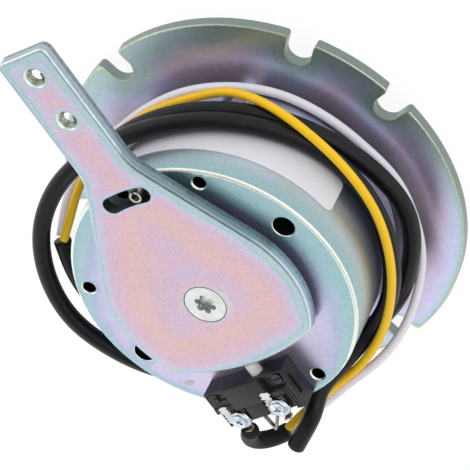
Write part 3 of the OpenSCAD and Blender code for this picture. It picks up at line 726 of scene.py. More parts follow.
@dataclass(frozen=True)
class ThreadLock(Finish):
    """Dried smear of thread lock, a clear glossy film over the plating.

    Attributes:
        tint: Its colour where it is thickest.
    """

    tint: Colour = (0.92, 0.88, 0.90)

    def paint(self, graph: Graph) -> None:
        """Makes the smear.

        Args:
            graph: The empty graph of its material.
        """
        haze = graph.noise(500.0, 3.0, 0.6)
        graph.set(Base_Color=graph.mix(haze, self.tint, WHITE), Alpha=0.6, Coat_Weight=0.6,
                  Roughness=graph.spread(haze, 0.08, 0.25))
        graph.bump(haze, 0.0001, 0.5)


PLATE_ZINC = ZincPlating("zinc_plating_plate", PLATE_STOPS, rough=0.33, metallic=0.82,
                        side=(0.24, 0.29, 0.26), drift=(0.0, -50.0, 0.0))
BODY_ZINC = ZincPlating("zinc_plating_body", BODY_STOPS, rough=0.33, side_stops=BODY_SIDE_STOPS,
                       drift=(-120.0, -100.0, 0.0))
LEVER_ZINC = ZincPlating("zinc_plating_lever", LEVER_STOPS, rough=0.38, side=(0.56, 0.78, 0.81),
                         side_metallic=0.45, seam_z=(LEVER_TOP_MM - 2.4) * MM,
                         drift=(-48.0, 0.0, 0.0), floor_mm=1.3, cloud_mm=9.0, swell=0.6,
                         painted_shades=LEVER_PAINTED_SHADES)
POST_ZINC = BareMetal("zinc_post", (0.92, 0.94, 0.95), (0.70, 0.72, 0.75), 0.2)
SCREW_STEEL = BareMetal("bright_screw_steel", (0.80, 0.85, 0.88), (0.46, 0.54, 0.60), 0.16, 500.0)
# Below the level, its star recess floor gets painted shade.
STAR_STEEL = BareMetal("star_screw_steel", (0.76, 0.77, 0.74), (0.62, 0.64, 0.62), 0.30, 260.0,
                       shaded_below_mm=LEVER_TOP_MM - 0.8)
PIN_STEEL = BareMetal("rolled_pin_steel", (0.66, 0.62, 0.54), (0.36, 0.33, 0.28), 0.3)
CLAMP_ZINC = MouldedPlastic("clamp_bright_plating", (0.80, 0.80, 0.78), 0.30)
TERMINAL_BRASS = BareMetal("terminal_plate_metal", (0.46, 0.45, 0.41), (0.22, 0.21, 0.18), 0.34)
GROUND_STEEL = BareMetal("ground_steel", (0.60, 0.61, 0.62), (0.42, 0.43, 0.44), 0.34, 700.0)
ARMATURE_STEEL = BareMetal("armature_steel", (0.76, 0.82, 0.95), (0.56, 0.62, 0.76), 0.40, 300.0)
HUB_STEEL = BareMetal("hub_steel", (0.58, 0.58, 0.58), (0.36, 0.36, 0.36), 0.3)
SPRING_STEEL = BareMetal("spring_steel", (0.40, 0.40, 0.42), (0.22, 0.22, 0.24), 0.32)
BALL_STEEL = BareMetal("ball_steel", (0.86, 0.87, 0.88), (0.76, 0.77, 0.78), 0.06)
BLACK_CASE = MouldedPlastic("black_switch_plastic", (0.009, 0.009, 0.010), 0.44)
BLACK_BASE = MouldedPlastic("black_switch_base_plastic", (0.010, 0.010, 0.013), 0.40)
BLACK_FIELD = MouldedPlastic("black_switch_field", (0.013, 0.013, 0.013), 0.50, 0.00003)
WHITE_NYLON = MouldedPlastic("white_plunger_plastic", (0.62, 0.61, 0.58), 0.34)
BOBBIN_PLASTIC = MouldedPlastic("bobbin_plastic", (0.03, 0.03, 0.03), 0.5)
BLACK_JACKET = LeadSkin("black_lead_jacket")
BLACK_SLEEVE = LeadSkin("black_sleeve", (0.006, 0.006, 0.006), (0.02, 0.02, 0.02), 0.5, 0.15)
YELLOW_SKIN = LeadSkin("yellow_wire_skin", (1.0, 0.60, 0.006), (0.92, 0.52, 0.02), 0.36, 0.25, 0.4)
WHITE_SKIN = LeadSkin("white_wire_skin", (0.84, 0.82, 0.86), (0.72, 0.70, 0.74), 0.36, 0.25, 0.45)
COPPER_CORE = BareMetal("copper_core", (0.80, 0.42, 0.26), (0.50, 0.24, 0.14), 0.3, 1500.0)
CORE_INSULATION = MouldedPlastic("core_insulation", (0.42, 0.40, 0.46), 0.36)
# Its dark second colour paints the shade in the thread grooves as dark stripes.
LEVER_THREAD = BareMetal("rod_thread_metal", (0.82, 0.88, 0.76), (0.14, 0.18, 0.12), 0.20)
INK = BareMetal("ink", (0.44, 0.48, 0.44), (0.52, 0.54, 0.54), 0.45)


# ---------------------------------------------------------------- mesh helpers


class Shop:
    """Turns finished bmeshes into pieces that ride on the frame's bodies."""

    frame: dict = {}

    @classmethod
    def piece(cls, mesh: Mesh, name: str, finish: Finish, body: Body,
              crease: float = 35.0, weighted: bool = False, node: str = "") -> Object:
        """Makes an object of a bmesh and lets it ride.

        Args:
            mesh: The finished bmesh, which is freed.
            name: Name of the piece.
            finish: Its finish.
            body: The body that it rides on.
            crease: Angle in degrees above which an edge stays sharp.
            weighted: Whether flat faces hold their normals beside bevels.
            node: The CAD node that it stands for, if any.

        Returns:
            The new object.
        """
        data = bpy.data.meshes.new(name)
        mesh.to_mesh(data)
        mesh.free()
        data.polygons.foreach_set("use_smooth", [True] * len(data.polygons))
        data.set_sharp_from_angle(angle=math.radians(crease))
        data.materials.append(finish.material())
        obj = bpy.data.objects.new(name, data)
        bpy.context.scene.collection.objects.link(obj)
        if weighted:
            modifier = obj.modifiers.new("flat_normals", "WEIGHTED_NORMAL")
            modifier.keep_sharp = True
        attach(obj, body.value)
        if node:
            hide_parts(node)
        LOG.info("%s: %d faces on %s", name, len(data.polygons), body.value)
        return obj

    @classmethod
    def dress(cls, finish: Finish, *nodes: str) -> None:
        """Gives CAD nodes a finish in their own material slots.

        Args:
            finish: The finish.
            *nodes: Names of the nodes.
        """
        for node in nodes:
            obj = cls.frame["nodes"][node]
            if not obj.material_slots:
                obj.data.materials.append(finish.material())
            for slot in obj.material_slots:
                slot.material = finish.material()
            LOG.info("%s: CAD node, %s", node, finish.name)

    @classmethod
    def merged_copy(cls, node: str) -> Mesh:
        """Copies a CAD node's mesh, with its triangles joined into flat faces.

        Args:
            node: Name of the CAD node.

        Returns:
            The copy.
        """
        mesh = bmesh.new()
        mesh.from_mesh(cls.frame["nodes"][node].data)
        bmesh.ops.remove_doubles(mesh, verts=mesh.verts, dist=2e-6)
        bmesh.ops.dissolve_limit(mesh, angle_limit=math.radians(0.6), verts=mesh.verts,
                                 edges=mesh.edges)
        return mesh


def verts_of(items: Iterable[Vert | Edge | Face]) -> list[Vert]:
    """The points among an operator's results."""
    return [item for item in items if isinstance(item, Vert)]


def once(items: Iterable[Vert | Edge | Face]) -> list[Vert | Edge | Face]:
    """Each item once, in the order in which they come."""
    return list(dict.fromkeys(items))


def face_out(mesh: Mesh, faces: Sequence[Face] | None = None) -> None:
    """Turns all faces of a bmesh, or those that are given, outward."""
    bmesh.ops.recalc_face_normals(mesh, faces=mesh.faces if faces is None else faces)


def bevel(mesh: Mesh, geom: Sequence[Vert | Edge], width_mm: float, segments: int = 2,
          affect: str = "EDGES", clamp: bool = True) -> None:
    """Rounds edges, or the corners if affect is VERTICES; clamp ends roundings where they meet."""
    bmesh.ops.bevel(mesh, geom=geom, offset=width_mm * MM, offset_type="OFFSET", segments=segments,
                    profile=0.5, affect=affect, clamp_overlap=clamp, material=-1)


def cut(mesh: Mesh, place: Vector | Place, normal: Vector | Place,
        faces: Iterable[Face] | None = None, clear: bool = False) -> list[Vert | Edge]:
    """Cuts a bmesh along a plane.

    Args:
        mesh: The bmesh.
        place: A point of the plane.
        normal: The plane's direction.
        faces: The faces that are cut, or None for the whole bmesh.
        clear: Whether everything outside the plane goes.

    Returns:
        The points and edges on the plane.
    """
    geom, near = mesh.verts[:] + mesh.edges[:] + mesh.faces[:], 1e-6
    if faces is not None:
        geom = once(item for face in faces for item in (face, *face.edges, *face.verts))
        near = 1e-7
    return bmesh.ops.bisect_plane(mesh, geom=geom, dist=near, plane_co=place, plane_no=normal,
                                  clear_outer=clear)["geom_cut"]


def extrude(mesh: Mesh, faces: Sequence[Face], lift_mm: float = 0.0) -> list[Vert]:
    """Extrudes faces and lifts their copies.

    Args:
        mesh: The bmesh.
        faces: The faces.
        lift_mm: How far the copies are lifted.

    Returns:
        The points of the copies.
    """
    fresh = verts_of(bmesh.ops.extrude_face_region(mesh, geom=faces)["geom"])
    bmesh.ops.translate(mesh, vec=(0, 0, lift_mm * MM), verts=fresh)
    return fresh


def lathe(mesh: Mesh, centre: Vector, profile: Sequence[Spot], steps: int) -> list[Vert]:
    """Spins a profile all round an upright axis.

    Args:
        mesh: The bmesh that it is added to.
        centre: Place of the axis in metres.
        profile: Radii and levels in millimetres, from the inside out.
        steps: Faces round the axis.

    Returns:
        The points of the turned form.
    """
    before = set(mesh.verts)
    verts = [mesh.verts.new(centre + Vector((out, 0.0, level)) * MM) for out, level in profile]
    edges = [mesh.edges.new(pair) for pair in zip(verts, verts[1:])]
    bmesh.ops.spin(mesh, geom=verts + edges, cent=centre, axis=(0, 0, 1), dvec=(0, 0, 0),
                   angle=math.tau, steps=steps, use_merge=True, use_duplicate=False)
    made = [vert for vert in mesh.verts if vert not in before]
    bmesh.ops.remove_doubles(mesh, verts=made, dist=1e-6)
    return [vert for vert in mesh.verts if vert not in before]


def sharp_edges(mesh: Mesh, angle: float) -> list[Edge]:
    """Edges between two faces that meet at more than an angle in degrees."""
    limit = math.radians(angle)
    return [edge for edge in mesh.edges
            if len(edge.link_faces) == 2 and edge.calc_face_angle(0.0) > limit]


def soften(mesh: Mesh, width_mm: float, segments: int = 2) -> None:
    """Bevels every sharp edge of a bmesh."""
    bevel(mesh, sharp_edges(mesh, 40.0), width_mm, segments)


def edge_points(edges: Sequence[Edge], step_mm: float = 1.0) -> list[Vector]:
    """Spreads points along edges.

    Args:
        edges: The edges.
        step_mm: Largest distance between two points.

    Returns:
        The points in metres.
    """
    points: list[Vector] = []
    for edge in edges:
        start, end = edge.verts[0].co, edge.verts[1].co
        count = max(1, math.ceil((end - start).length / (step_mm * MM)))
        points.extend(start.lerp(end, i / count) for i in range(count + 1))
    return points


def face_edges(mesh: Mesh, level_mm: float) -> tuple[list[Edge], list[Edge]]:
    """Finds the sharp edges of a part's flat face.

    Args:
        mesh: The bmesh.
        level_mm: Level of the face.

    Returns:
        The edges of its outline and those of its holes.
    """
    found = [edge for edge in sharp_edges(mesh, 25.0)
             if all(abs(vert.co.z / MM - level_mm) < 0.05 for vert in edge.verts)]
    left = dict.fromkeys(found)
    longest: list[Edge] = []
    while left:
        loop = [left.popitem()[0]]
        for edge in loop:
            joined = once(other for vert in edge.verts for other in vert.link_edges
                          if other in left)
            loop.extend(joined)
            for other in joined:
                del left[other]
        longest = max(longest, loop, key=lambda edges: sum(edge.calc_length() for edge in edges))
    outline = set(longest)
    return longest, [edge for edge in found if edge not in outline]


def slice_cells(mesh: Mesh, cell_mm: float, axes: str) -> None:
    """Cuts a bmesh into cells, so that its points lie close.

    Args:
        mesh: The bmesh.
        cell_mm: Size of the cells.
        axes: Names of the axes along which they are cut.
    """
    for axis in axes:
        index = "xyz".index(axis)
        values = [vert.co[index] for vert in mesh.verts]
        low, high = min(values), max(values)
        count = max(1, round((high - low) / (cell_mm * MM)))
        normal = Matrix.Identity(3)[index]
        for i in range(1, count):
            cut(mesh, normal * (low + (high - low) * i / count), normal)


def store_rim(mesh: Mesh, outline: Sequence[Vector], holes: Sequence[Vector],
              rise: float = 0.0) -> None:
    """Stores each point's distance from the rim in millimetres, and whether a hole is nearer.

    Args:
        mesh: The bmesh.
        outline: Points on the outline.
        holes: Points on the holes' edges, whose distance counts several times.
        rise: How much faster a hole's distance counts further out.
    """
    trees = []
    for seeds in (outline, holes):
        tree = KDTree(len(seeds))
        for index, seed in enumerate(seeds):
            tree.insert(seed, index)
        tree.balance()
        trees.append(tree)
    rim = mesh.verts.layers.float.new(RIM)
    bore = mesh.verts.layers.float.new(BORE)
    for vert in mesh.verts:
        far = trees[0].find(vert.co)[2] / MM
        hole = trees[1].find(vert.co)[2] / MM if holes else math.inf
        vert[rim] = min(far, max(HOLE_FLOOR_MM, hole * HOLE_WEIGHT + rise * hole ** 3))
        vert[bore] = float(hole < far)


def polar(radius_mm: float, angle: float, level_mm: float) -> Vector:
    """A point in metres from a radius, an angle in degrees and a level."""
    turn = math.radians(angle)
    return Vector((radius_mm * math.cos(turn), radius_mm * math.sin(turn), level_mm)) * MM


# ---------------------------------------------------------------- plated steel


@dataclass
class PlatedPart:
    """A plated CAD node, redrawn with rounded edges and a rim distance on its points.

    Attributes:
        node: Name of the CAD node.
        body: The body that it rides on.
        finish: Its plating.
        edge_mm: Width of the rounding.
        cell_mm: Size of the cells that carry the rim distance.
        face_mm: Level of the face whose edges change the plating's colour.
        axes: Axes along which the cells are cut.
        segments: Faces across the rounding.
        rolled_mm: Rounding of the outline at the upper level, or 0.
        rim_r_mm: Radius of a round outline that has no sharp edge, or 0.
        rise: How much faster a hole's distance counts further out.
    """

    node: str
    body: Body
    finish: Finish
    edge_mm: float
    cell_mm: float
    face_mm: float
    axes: str = "xy"
    segments: int = 2
    rolled_mm: float = 0.0
    rim_r_mm: float = 0.0
    rise: float = 0.0

    def build(self) -> Object:
        """Makes the plated piece and hides its CAD node."""
        mesh = Shop.merged_copy(self.node)
        outline, holes = face_edges(mesh, self.face_mm)
        seeds = edge_points(outline), edge_points(holes)
        if self.rim_r_mm:
            seeds = ([polar(self.rim_r_mm, 360.0 * i / RIM_SEEDS, self.face_mm)
                      for i in range(RIM_SEEDS)], edge_points(outline + holes))
        if self.rolled_mm:
            bevel(mesh, outline, self.rolled_mm, 5)
        soften(mesh, self.edge_mm, self.segments)
        slice_cells(mesh, self.cell_mm, self.axes)
        store_rim(mesh, *seeds, rise=self.rise)
        return Shop.piece(mesh, f"{self.node}_plated", self.finish, self.body, weighted=True,
                          node=self.node)


@dataclass
class FlatMark:
    """A thin mark on a flat face, such as ink or a dried smear.

    Attributes:
        name: Name of the piece.
        body: The body that it rides on.
        finish: Its finish.
        centre: Its centre in millimetres.
        thick_mm: Its thickness.
    """

    name: str
    body: Body
    finish: Finish
    centre: Place
    thick_mm: float = 0.05

    def outline(self) -> list[Vector]:
        """Corners of the mark round its centre, in millimetres."""
        raise NotImplementedError

    def build(self) -> Object:
        """Makes the mark as a thin prism."""
        mesh = bmesh.new()
        corners = [mesh.verts.new((Vector(self.centre) + spot) * MM) for spot in self.outline()]
        extrude(mesh, [mesh.faces.new(corners)], self.thick_mm)
        face_out(mesh)
        return Shop.piece(mesh, self.name, self.finish, self.body, 60.0)


@dataclass
class InkMark(FlatMark):
    """A small blot.

    Attributes:
        size_mm: Its two half widths.
        turn: Direction of its long side in degrees.
        corners: Number of its corners.
    """

    size_mm: Spot = (2.3, 1.2)
    turn: float = -20.0
    corners: int = 40

    def outline(self) -> list[Vector]:
        """Corners of the blot."""
        turn = Matrix.Rotation(math.radians(self.turn), 3, "Z")
        long, short = self.size_mm
        spots = []
        for i in range(self.corners):
            angle = math.tau * i / self.corners
            wave = 1.0 + 0.07 * math.sin(3 * angle + 1) + 0.05 * math.sin(7 * angle)
            spot = Vector((math.cos(angle) * long, math.sin(angle) * short, 0.0))
            spots.append(turn @ spot * wave)
        return spots


@dataclass
class Smear(FlatMark):
    """A crescent that has run out from under a round head.

    Attributes:
        inner_mm: Radius of the head.
        reach_mm: Widest part of the crescent.
        span: Directions of its two tips in degrees.
        steps: Number of steps from tip to tip.
    """

    inner_mm: float = 8.45
    reach_mm: float = 3.1
    span: Spot = (-62.0, 18.0)
    steps: int = 30

    def outline(self) -> list[Vector]:
        """Corners of the crescent, out along its rim and back along the head."""
        start, end = self.span
        outer, inner = [], []
        for i in range(self.steps + 1):
            share = i / self.steps
            angle = math.radians(start + (end - start) * share)
            wave = 1.0 + 0.07 * math.sin(9 * share)
            bulge = self.reach_mm * math.sin(math.pi * share) ** 0.6 * wave
            way = Vector((math.cos(angle), math.sin(angle), 0.0))
            outer.append(way * (self.inner_mm + 0.1 + bulge))
            inner.append(way * self.inner_mm)
        return outer + inner[::-1]


@dataclass
class RodThreads:
    """Thread turns in the lever's two rod holes.

    Attributes:
        angle: Direction of the lever's arm in degrees.
        reaches_mm: Distances of the holes from the axis.
        wall_mm: Radius of the holes.
        depth_mm: Height of a turn above the wall.
        pitch_mm: Distance between turns.
        turns: Number of turns.
        low_mm: Level where the first turn starts.
        sides: Faces in one turn.
    """

    angle: float = 76.2
    reaches_mm: Spot = (89.5, 109.5)
    wall_mm: float = 3.42
    depth_mm: float = 0.75
    pitch_mm: float = 1.25
    turns: int = 3
    low_mm: float = 64.8
    sides: int = 28

    def build(self) -> Object:
        """Makes the turns as swept ridges."""
        mesh = bmesh.new()
        for reach in self.reaches_mm:
            self._ridge(mesh, polar(reach, self.angle, self.low_mm))
        face_out(mesh)
        return Shop.piece(mesh, "rod_hole_threads", LEVER_THREAD, Body.LEVER, 20.0)

    def _ridge(self, mesh: Mesh, centre: Vector) -> None:
        """Sweeps one three-cornered ridge up a helix.

        Args:
            mesh: The bmesh that it is added to.
            centre: Foot of the helix's axis, in metres.
        """
        half = self.pitch_mm * 0.48
        corners = ((self.wall_mm, -half), (self.wall_mm - self.depth_mm, 0.0), (self.wall_mm, half))
        verts = [mesh.verts.new(centre + Vector((r * MM, 0.0, z * MM))) for r, z in corners]
        face = mesh.faces.new(verts)
        steps = self.sides * self.turns
        bmesh.ops.spin(mesh, geom=[face, *face.edges, *verts], cent=centre, axis=(0.0, 0.0, 1.0),
                       dvec=(0.0, 0.0, self.pitch_mm * self.turns * MM / steps),
                       angle=math.tau * self.turns, steps=steps, use_merge=False,
                       use_duplicate=False)


@dataclass
class SoftEdged:
    """A CAD node redrawn with softened edges and a plain finish.

    Attributes:
        node: Name of the CAD node.
        body: The body that it rides on.
        finish: Its finish.
        edge_mm: Width of the rounding.
        segments: Faces across the rounding.
    """

    node: str
    body: Body
    finish: Finish
    edge_mm: float
    segments: int = 2

    def build(self) -> Object:
        """Makes the softened piece and hides its CAD node."""
        mesh = Shop.merged_copy(self.node)
        soften(mesh, self.edge_mm, self.segments)
        return Shop.piece(mesh, f"{self.node}_finished", self.finish, self.body, weighted=True,
                          node=self.node)


# ---------------------------------------------------------------- leads


BODY_R_MM = 56.5

# Routes as distance outside the body's side and direction and level, as in part.scad.
COIL_LEAD_ROUTE: tuple[Place, ...] = (
    (-12, 125, 36), (4, 104, 36), (5.1, 96, 35.4), (4.7, 80, 34), (4.7, 62, 32.6),
    (4.5, 44, 30), (4.3, 26, 26.6), (4.3, 8, 23.2), (5.5, -10, 19.8), (8.9, -28, 19),
    (8.1, -46, 19), (7.3, -70, 19), (6.9, -94, 20), (8.5, -118, 26), (12.1, -142, 34),
    (16.1, -166, 42.5), (19.3, -190, 47.6), (19.9, -208, 48), (18.1, -226, 46.6),
    (14.3, -243, 44.4), (9.7, -260, 42.4), (6.5, -277, 41.2), (5.5, -295, 40.4),
    (5.3, -313, 38), (4.9, -331, 34.6), (4.8, -349, 31.6), (4.7, -367, 30.8),
    (4.5, -385, 31.4), (4.3, -403, 31.8), (4.5, -421, 31), (4.5, -437, 31.6),
    (4.2, -449, 39), (4, -456, 48), (4.5, -459, 54.5), (8.3, -460.5, 60),
    (12.5, -466, 62.6), (18.7, -472, 64.5),
)
SWITCH_LEAD_ROUTE: tuple[Place, ...] = (
    (11.5, 138, 43), (9.1, 152, 45), (6.1, 168, 45.4), (4.9, 188, 43), (4.9, 210, 41),
    (4.9, 232, 40.5),
)
YELLOW_WIRE_ROUTE: tuple[Place, ...] = (
    (10.3, 137.6, 44.3), (8.7, 131, 39.6), (8.5, 121, 30.5), (5, 109, 24.5),
    (2.9, 95, 21.6), (2.5, 79, 21.2), (2.7, 63, 20.4), (7.1, 47, 22.2), (10.1, 32, 28.2),
    (10.5, 15, 34), (8.7, -2, 35.4), (7.5, -19, 36.4), (6.1, -37, 37.4), (5.9, -55, 37.4),
    (7.7, -73, 36.8), (9.9, -88, 39), (9.9, -98, 43.5), (9.7, -104, 51),
    (11.8, -111, 56), (14.5, -115, 58),
)
WHITE_WIRE_ROUTE: tuple[Place, ...] = (
    (12.6, 137.6, 41.5), (12.9, 128, 31), (9, 115, 20.5), (4, 101, 16.4),
    (2.7, 85, 16), (2.7, 68, 14.8), (2.7, 50, 13.4), (2.7, 32, 11.8),
    (2.7, 14, 11.8), (3.1, -4, 11.4), (6.5, -24, 11.2), (9.9, -48, 12.6),
    (12.9, -64, 17.6), (14.7, -74, 25.6), (14.7, -84, 33.6), (13.4, -97, 41),
    (14.7, -106.5, 48), (15.5, -112, 53.4), (17.9, -115.6, 56.5),
)
SLEEVE_ROUTE: tuple[Place, ...] = (
    (16.2, -115.3, 57.3), (17.9, -120.2, 59.4), (16.7, -124.6, 62.6),
    (10.9, -125.4, 66.8), (4.3, -122, 70),
)


def smooth_path(route: Sequence[Place], step_mm: float = 1.6) -> list[Vector]:
    """Draws a smooth curve through a route.

    Args:
        route: Points as distance outside the body's side, direction and level.
        step_mm: Distance between the curve's points.

    Returns:
        Points in metres.
    """
    knots = [polar(BODY_R_MM + out, angle, level) for out, angle, level in route]
    ends = [2 * knots[0] - knots[1], *knots, 2 * knots[-1] - knots[-2]]
    points: list[Vector] = []
    for a, b, c, d in zip(ends, ends[1:], ends[2:], ends[3:]):
        count = max(2, round((c - b).length / (step_mm * MM)))
        for i in range(count):
            t = i / count
            points.append(0.5 * (2 * b + (c - a) * t + (2 * a - 5 * b + 4 * c - d) * t * t
                                 + (3 * b - a - 3 * c + d) * t ** 3))
    points.append(knots[-1])
    return relaxed(points)


def relaxed(points: Sequence[Vector], passes: int = 14) -> list[Vector]:
    """Eases the small kinks out of a curve.

    Args:
        points: Points of the curve.
        passes: How often they are eased.

    Returns:
        The eased points, the two ends as they were.
    """
    eased = list(points)
    for _ in range(passes):
        middle = [b.lerp((a + c) / 2, 0.5) for a, b, c in zip(eased, eased[1:], eased[2:])]
        eased = [eased[0], *middle, eased[-1]]
    return eased


@dataclass
class Lead:
    """One lead or wire, swept along its route as a round tube.

    Attributes:
        name: Name of the piece.
        node: CAD node that it stands for.
        route: Its route.
        diameter_mm: Its diameter.
        finish: Its jacket.
        sides: Sides of the tube.
        end_round_mm: Rounding of the cut ends.
        path: The smooth centre line, filled in by build.
    """

    name: str
    node: str
    route: Sequence[Place]
    diameter_mm: float
    finish: Finish
    sides: int = 16
    end_round_mm: float = 0.35
    path: list[Vector] = field(default_factory=list)

    def build(self) -> Object:
        """Sweeps the tube and hides the CAD node."""
        self.path = smooth_path(self.route)
        mesh = bmesh.new()
        self._sweep(mesh)
        face_out(mesh)
        return Shop.piece(mesh, self.name, self.finish, Body.HOUSING, 50.0, node=self.node)

    def _sweep(self, mesh: Mesh) -> None:
        """Extrudes a round face from station to station along the path.

        Args:
            mesh: The bmesh that it is added to.
        """
        radius = self.diameter_mm / 2 * MM
        stations = self._stations()
        ring = bmesh.ops.create_circle(mesh, cap_ends=False, radius=1.0,
                                       segments=self.sides)["verts"]
        flat = [vert.co.copy() for vert in ring]
        edges = once(edge for vert in ring for edge in vert.link_edges)
        for index, (place, turn, scale) in enumerate(stations):
            if index:
                grown = bmesh.ops.extrude_edge_only(mesh, edges=edges)["geom"]
                edges = [item for item in grown if isinstance(item, Edge)
                         and all(vert in grown for vert in item.verts)]
                ring = self._ordered(ring, edges)
            for vert, co in zip(ring, flat):
                vert.co = place + turn @ (co * radius * scale)
            if index in (0, len(stations) - 1):
                bmesh.ops.contextual_create(mesh, geom=edges)

    @staticmethod
    def _ordered(old: Sequence[Vert], edges: Sequence[Edge]) -> list[Vert]:
        """The new ring's points in the order of the old ring's."""
        fresh = {vert for edge in edges for vert in edge.verts}
        return [next(edge.other_vert(vert) for edge in vert.link_edges
                     if edge.other_vert(vert) in fresh) for vert in old]

    def _stations(self) -> list[Ring]:
        """Places, turns and scales of the rings, carried along with no twist."""
        side = None
        stations: list[Ring] = []
        before, after = [self.path[0], *self.path], [*self.path[1:], self.path[-1]]
        for start, point, end in zip(before, self.path, after):
            ahead = (end - start).normalized()
            carried = ahead.orthogonal() if side is None else side
            side = (carried - carried.dot(ahead) * ahead).normalized()
            stations.append((point, Matrix((side, ahead.cross(side), ahead)).transposed(), 1.0))
        return self._rounded_ends(stations)

    def _rounded_ends(self, stations: list[Ring]) -> list[Ring]:
        """Adds the small rings that round the two cut ends.

        Args:
            stations: The rings of the tube.

        Returns:
            The rings with those of the ends.
        """
        shrink = 1.0 - 2 * self.end_round_mm / self.diameter_mm
        steps = ((0.0, shrink), (0.3, 0.5 + 0.5 * shrink), (1.0, 1.0))
        ends = []
        for (place, turn, _), soft in ((stations[0], self.end_round_mm * MM),
                                       (stations[-1], -self.end_round_mm * MM)):
            ends.append([(place + depth * soft * turn.col[2].xyz, turn, scale)
                         for depth, scale in steps])
        return ends[0] + stations[1:-1] + ends[1][::-1]

    def end_frame(self) -> tuple[Vector, Matrix]:
        """Place of the far end and the turn that faces out of it."""
        inner, tip = self.path[-2:]
        return tip, (tip - inner).to_track_quat("Z", "Y").to_matrix()


@dataclass
class CutCore:
    """Insulated conductors that show in the cut end of a lead.

    Attributes:
        name: Name of the piece.
        spots_mm: Places of the conductors across the end.
        outer_mm: Diameter of the insulation.
        inner_mm: Diameter of the copper.
        proud_mm: How far the insulation stands proud.
        sunk_mm: How deep the stubs start below the end.
    """

    name: str
    spots_mm: tuple[Spot, ...]
    outer_mm: float = 2.5
    inner_mm: float = 1.2
    proud_mm: float = 0.18
    sunk_mm: float = 0.3

    def build(self, tip: Vector, turn: Matrix) -> list[Object]:
        """Makes the insulation rings and the copper on a cut end.

        Args:
            tip: Centre of the cut end.
            turn: Turn that faces out of the end.

        Returns:
            The two pieces.
        """
        rings, copper = bmesh.new(), bmesh.new()
        for x, y in self.spots_mm:
            foot = Matrix.Translation(Vector((x, y, -self.sunk_mm)) * MM)
            place = Matrix.Translation(tip) @ turn.to_4x4() @ foot
            self._stub(rings, place, self.outer_mm, self.sunk_mm + self.proud_mm)
            self._stub(copper, place, self.inner_mm, self.sunk_mm + self.proud_mm + 0.06)
        return [Shop.piece(rings, f"{self.name}_insulation", CORE_INSULATION, Body.HOUSING),
                Shop.piece(copper, f"{self.name}_copper", COPPER_CORE, Body.HOUSING)]

    @staticmethod
    def _stub(mesh: Mesh, place: Matrix, diameter_mm: float, height_mm: float) -> None:
        """Adds a short rod with a rounded rim.

        Args:
            mesh: The bmesh that it is added to.
            place: Place and turn of its foot.
            diameter_mm: Its diameter.
            height_mm: Its height.
        """
        radius = diameter_mm / 2 * MM
        centre = place @ Matrix.Translation((0, 0, height_mm / 2 * MM))
        made = bmesh.ops.create_cone(mesh, cap_ends=True, segments=20, radius1=radius,
                                     radius2=radius, depth=height_mm * MM, matrix=centre)
        rim = [edge for edge in mesh.edges if all(vert in made["verts"] for vert in edge.verts)
               and edge.calc_face_angle(0.0) > 1.0]
        bevel(mesh, rim, 0.08, clamp=False)


class Leads:
    """All leads of the brake."""

    def build(self) -> None:
        coil = Lead("coil_lead_jacket", "coil_lead", COIL_LEAD_ROUTE, 7.0, BLACK_JACKET)
        jacket = Lead("switch_lead_jacket", "switch_lead", SWITCH_LEAD_ROUTE, 7.0, BLACK_JACKET)
        yellow = Lead("yellow_wire_skin", "yellow_wire", YELLOW_WIRE_ROUTE, 3.5, YELLOW_SKIN,
                      12, 0.15)
        white = Lead("white_wire_skin", "white_wire", WHITE_WIRE_ROUTE, 3.5, WHITE_SKIN, 12, 0.15)
        sleeve = Lead("wire_sleeve_skin", "wire_sleeve", SLEEVE_ROUTE, 7.0, BLACK_SLEEVE)
        pieces = {lead.node: lead.build() for lead in (coil, jacket, yellow, white, sleeve)}
        coil_cores = CutCore("coil_lead_core", ((0.2, 0.1),), 2.7, 1.3)
        jacket_cores = CutCore("switch_lead_core", ((1.3, 0.0), (-1.3, 0.0)))
        self._declare(pieces["coil_lead"], coil, "bare", coil_cores.build(*coil.end_frame()),
                      polar(BODY_R_MM, 107.5, 36))
        self._declare(pieces["switch_lead"], jacket, "bare",
                      jacket_cores.build(*jacket.end_frame()))
        self._declare(pieces["yellow_wire"], yellow, "object", [pieces["wire_sleeve"]])
        self._declare(pieces["white_wire"], white, "object", [])

    @staticmethod
    def _declare(piece: Object, lead: Lead, far_end: str, with_pieces: list[Object],
                 mouth: Vector | None = None) -> None:
        """Takes one lead as a cord, but declares nothing: it has no body.

        Args:
            piece: The lead's piece; not used.
            lead: The lead; not used.
            far_end: What its far end is; not used.
            with_pieces: Pieces that hang on it; not used.
            mouth: Where it leaves the brake, or None for its first point; not used.
        """


# ---------------------------------------------------------------- label


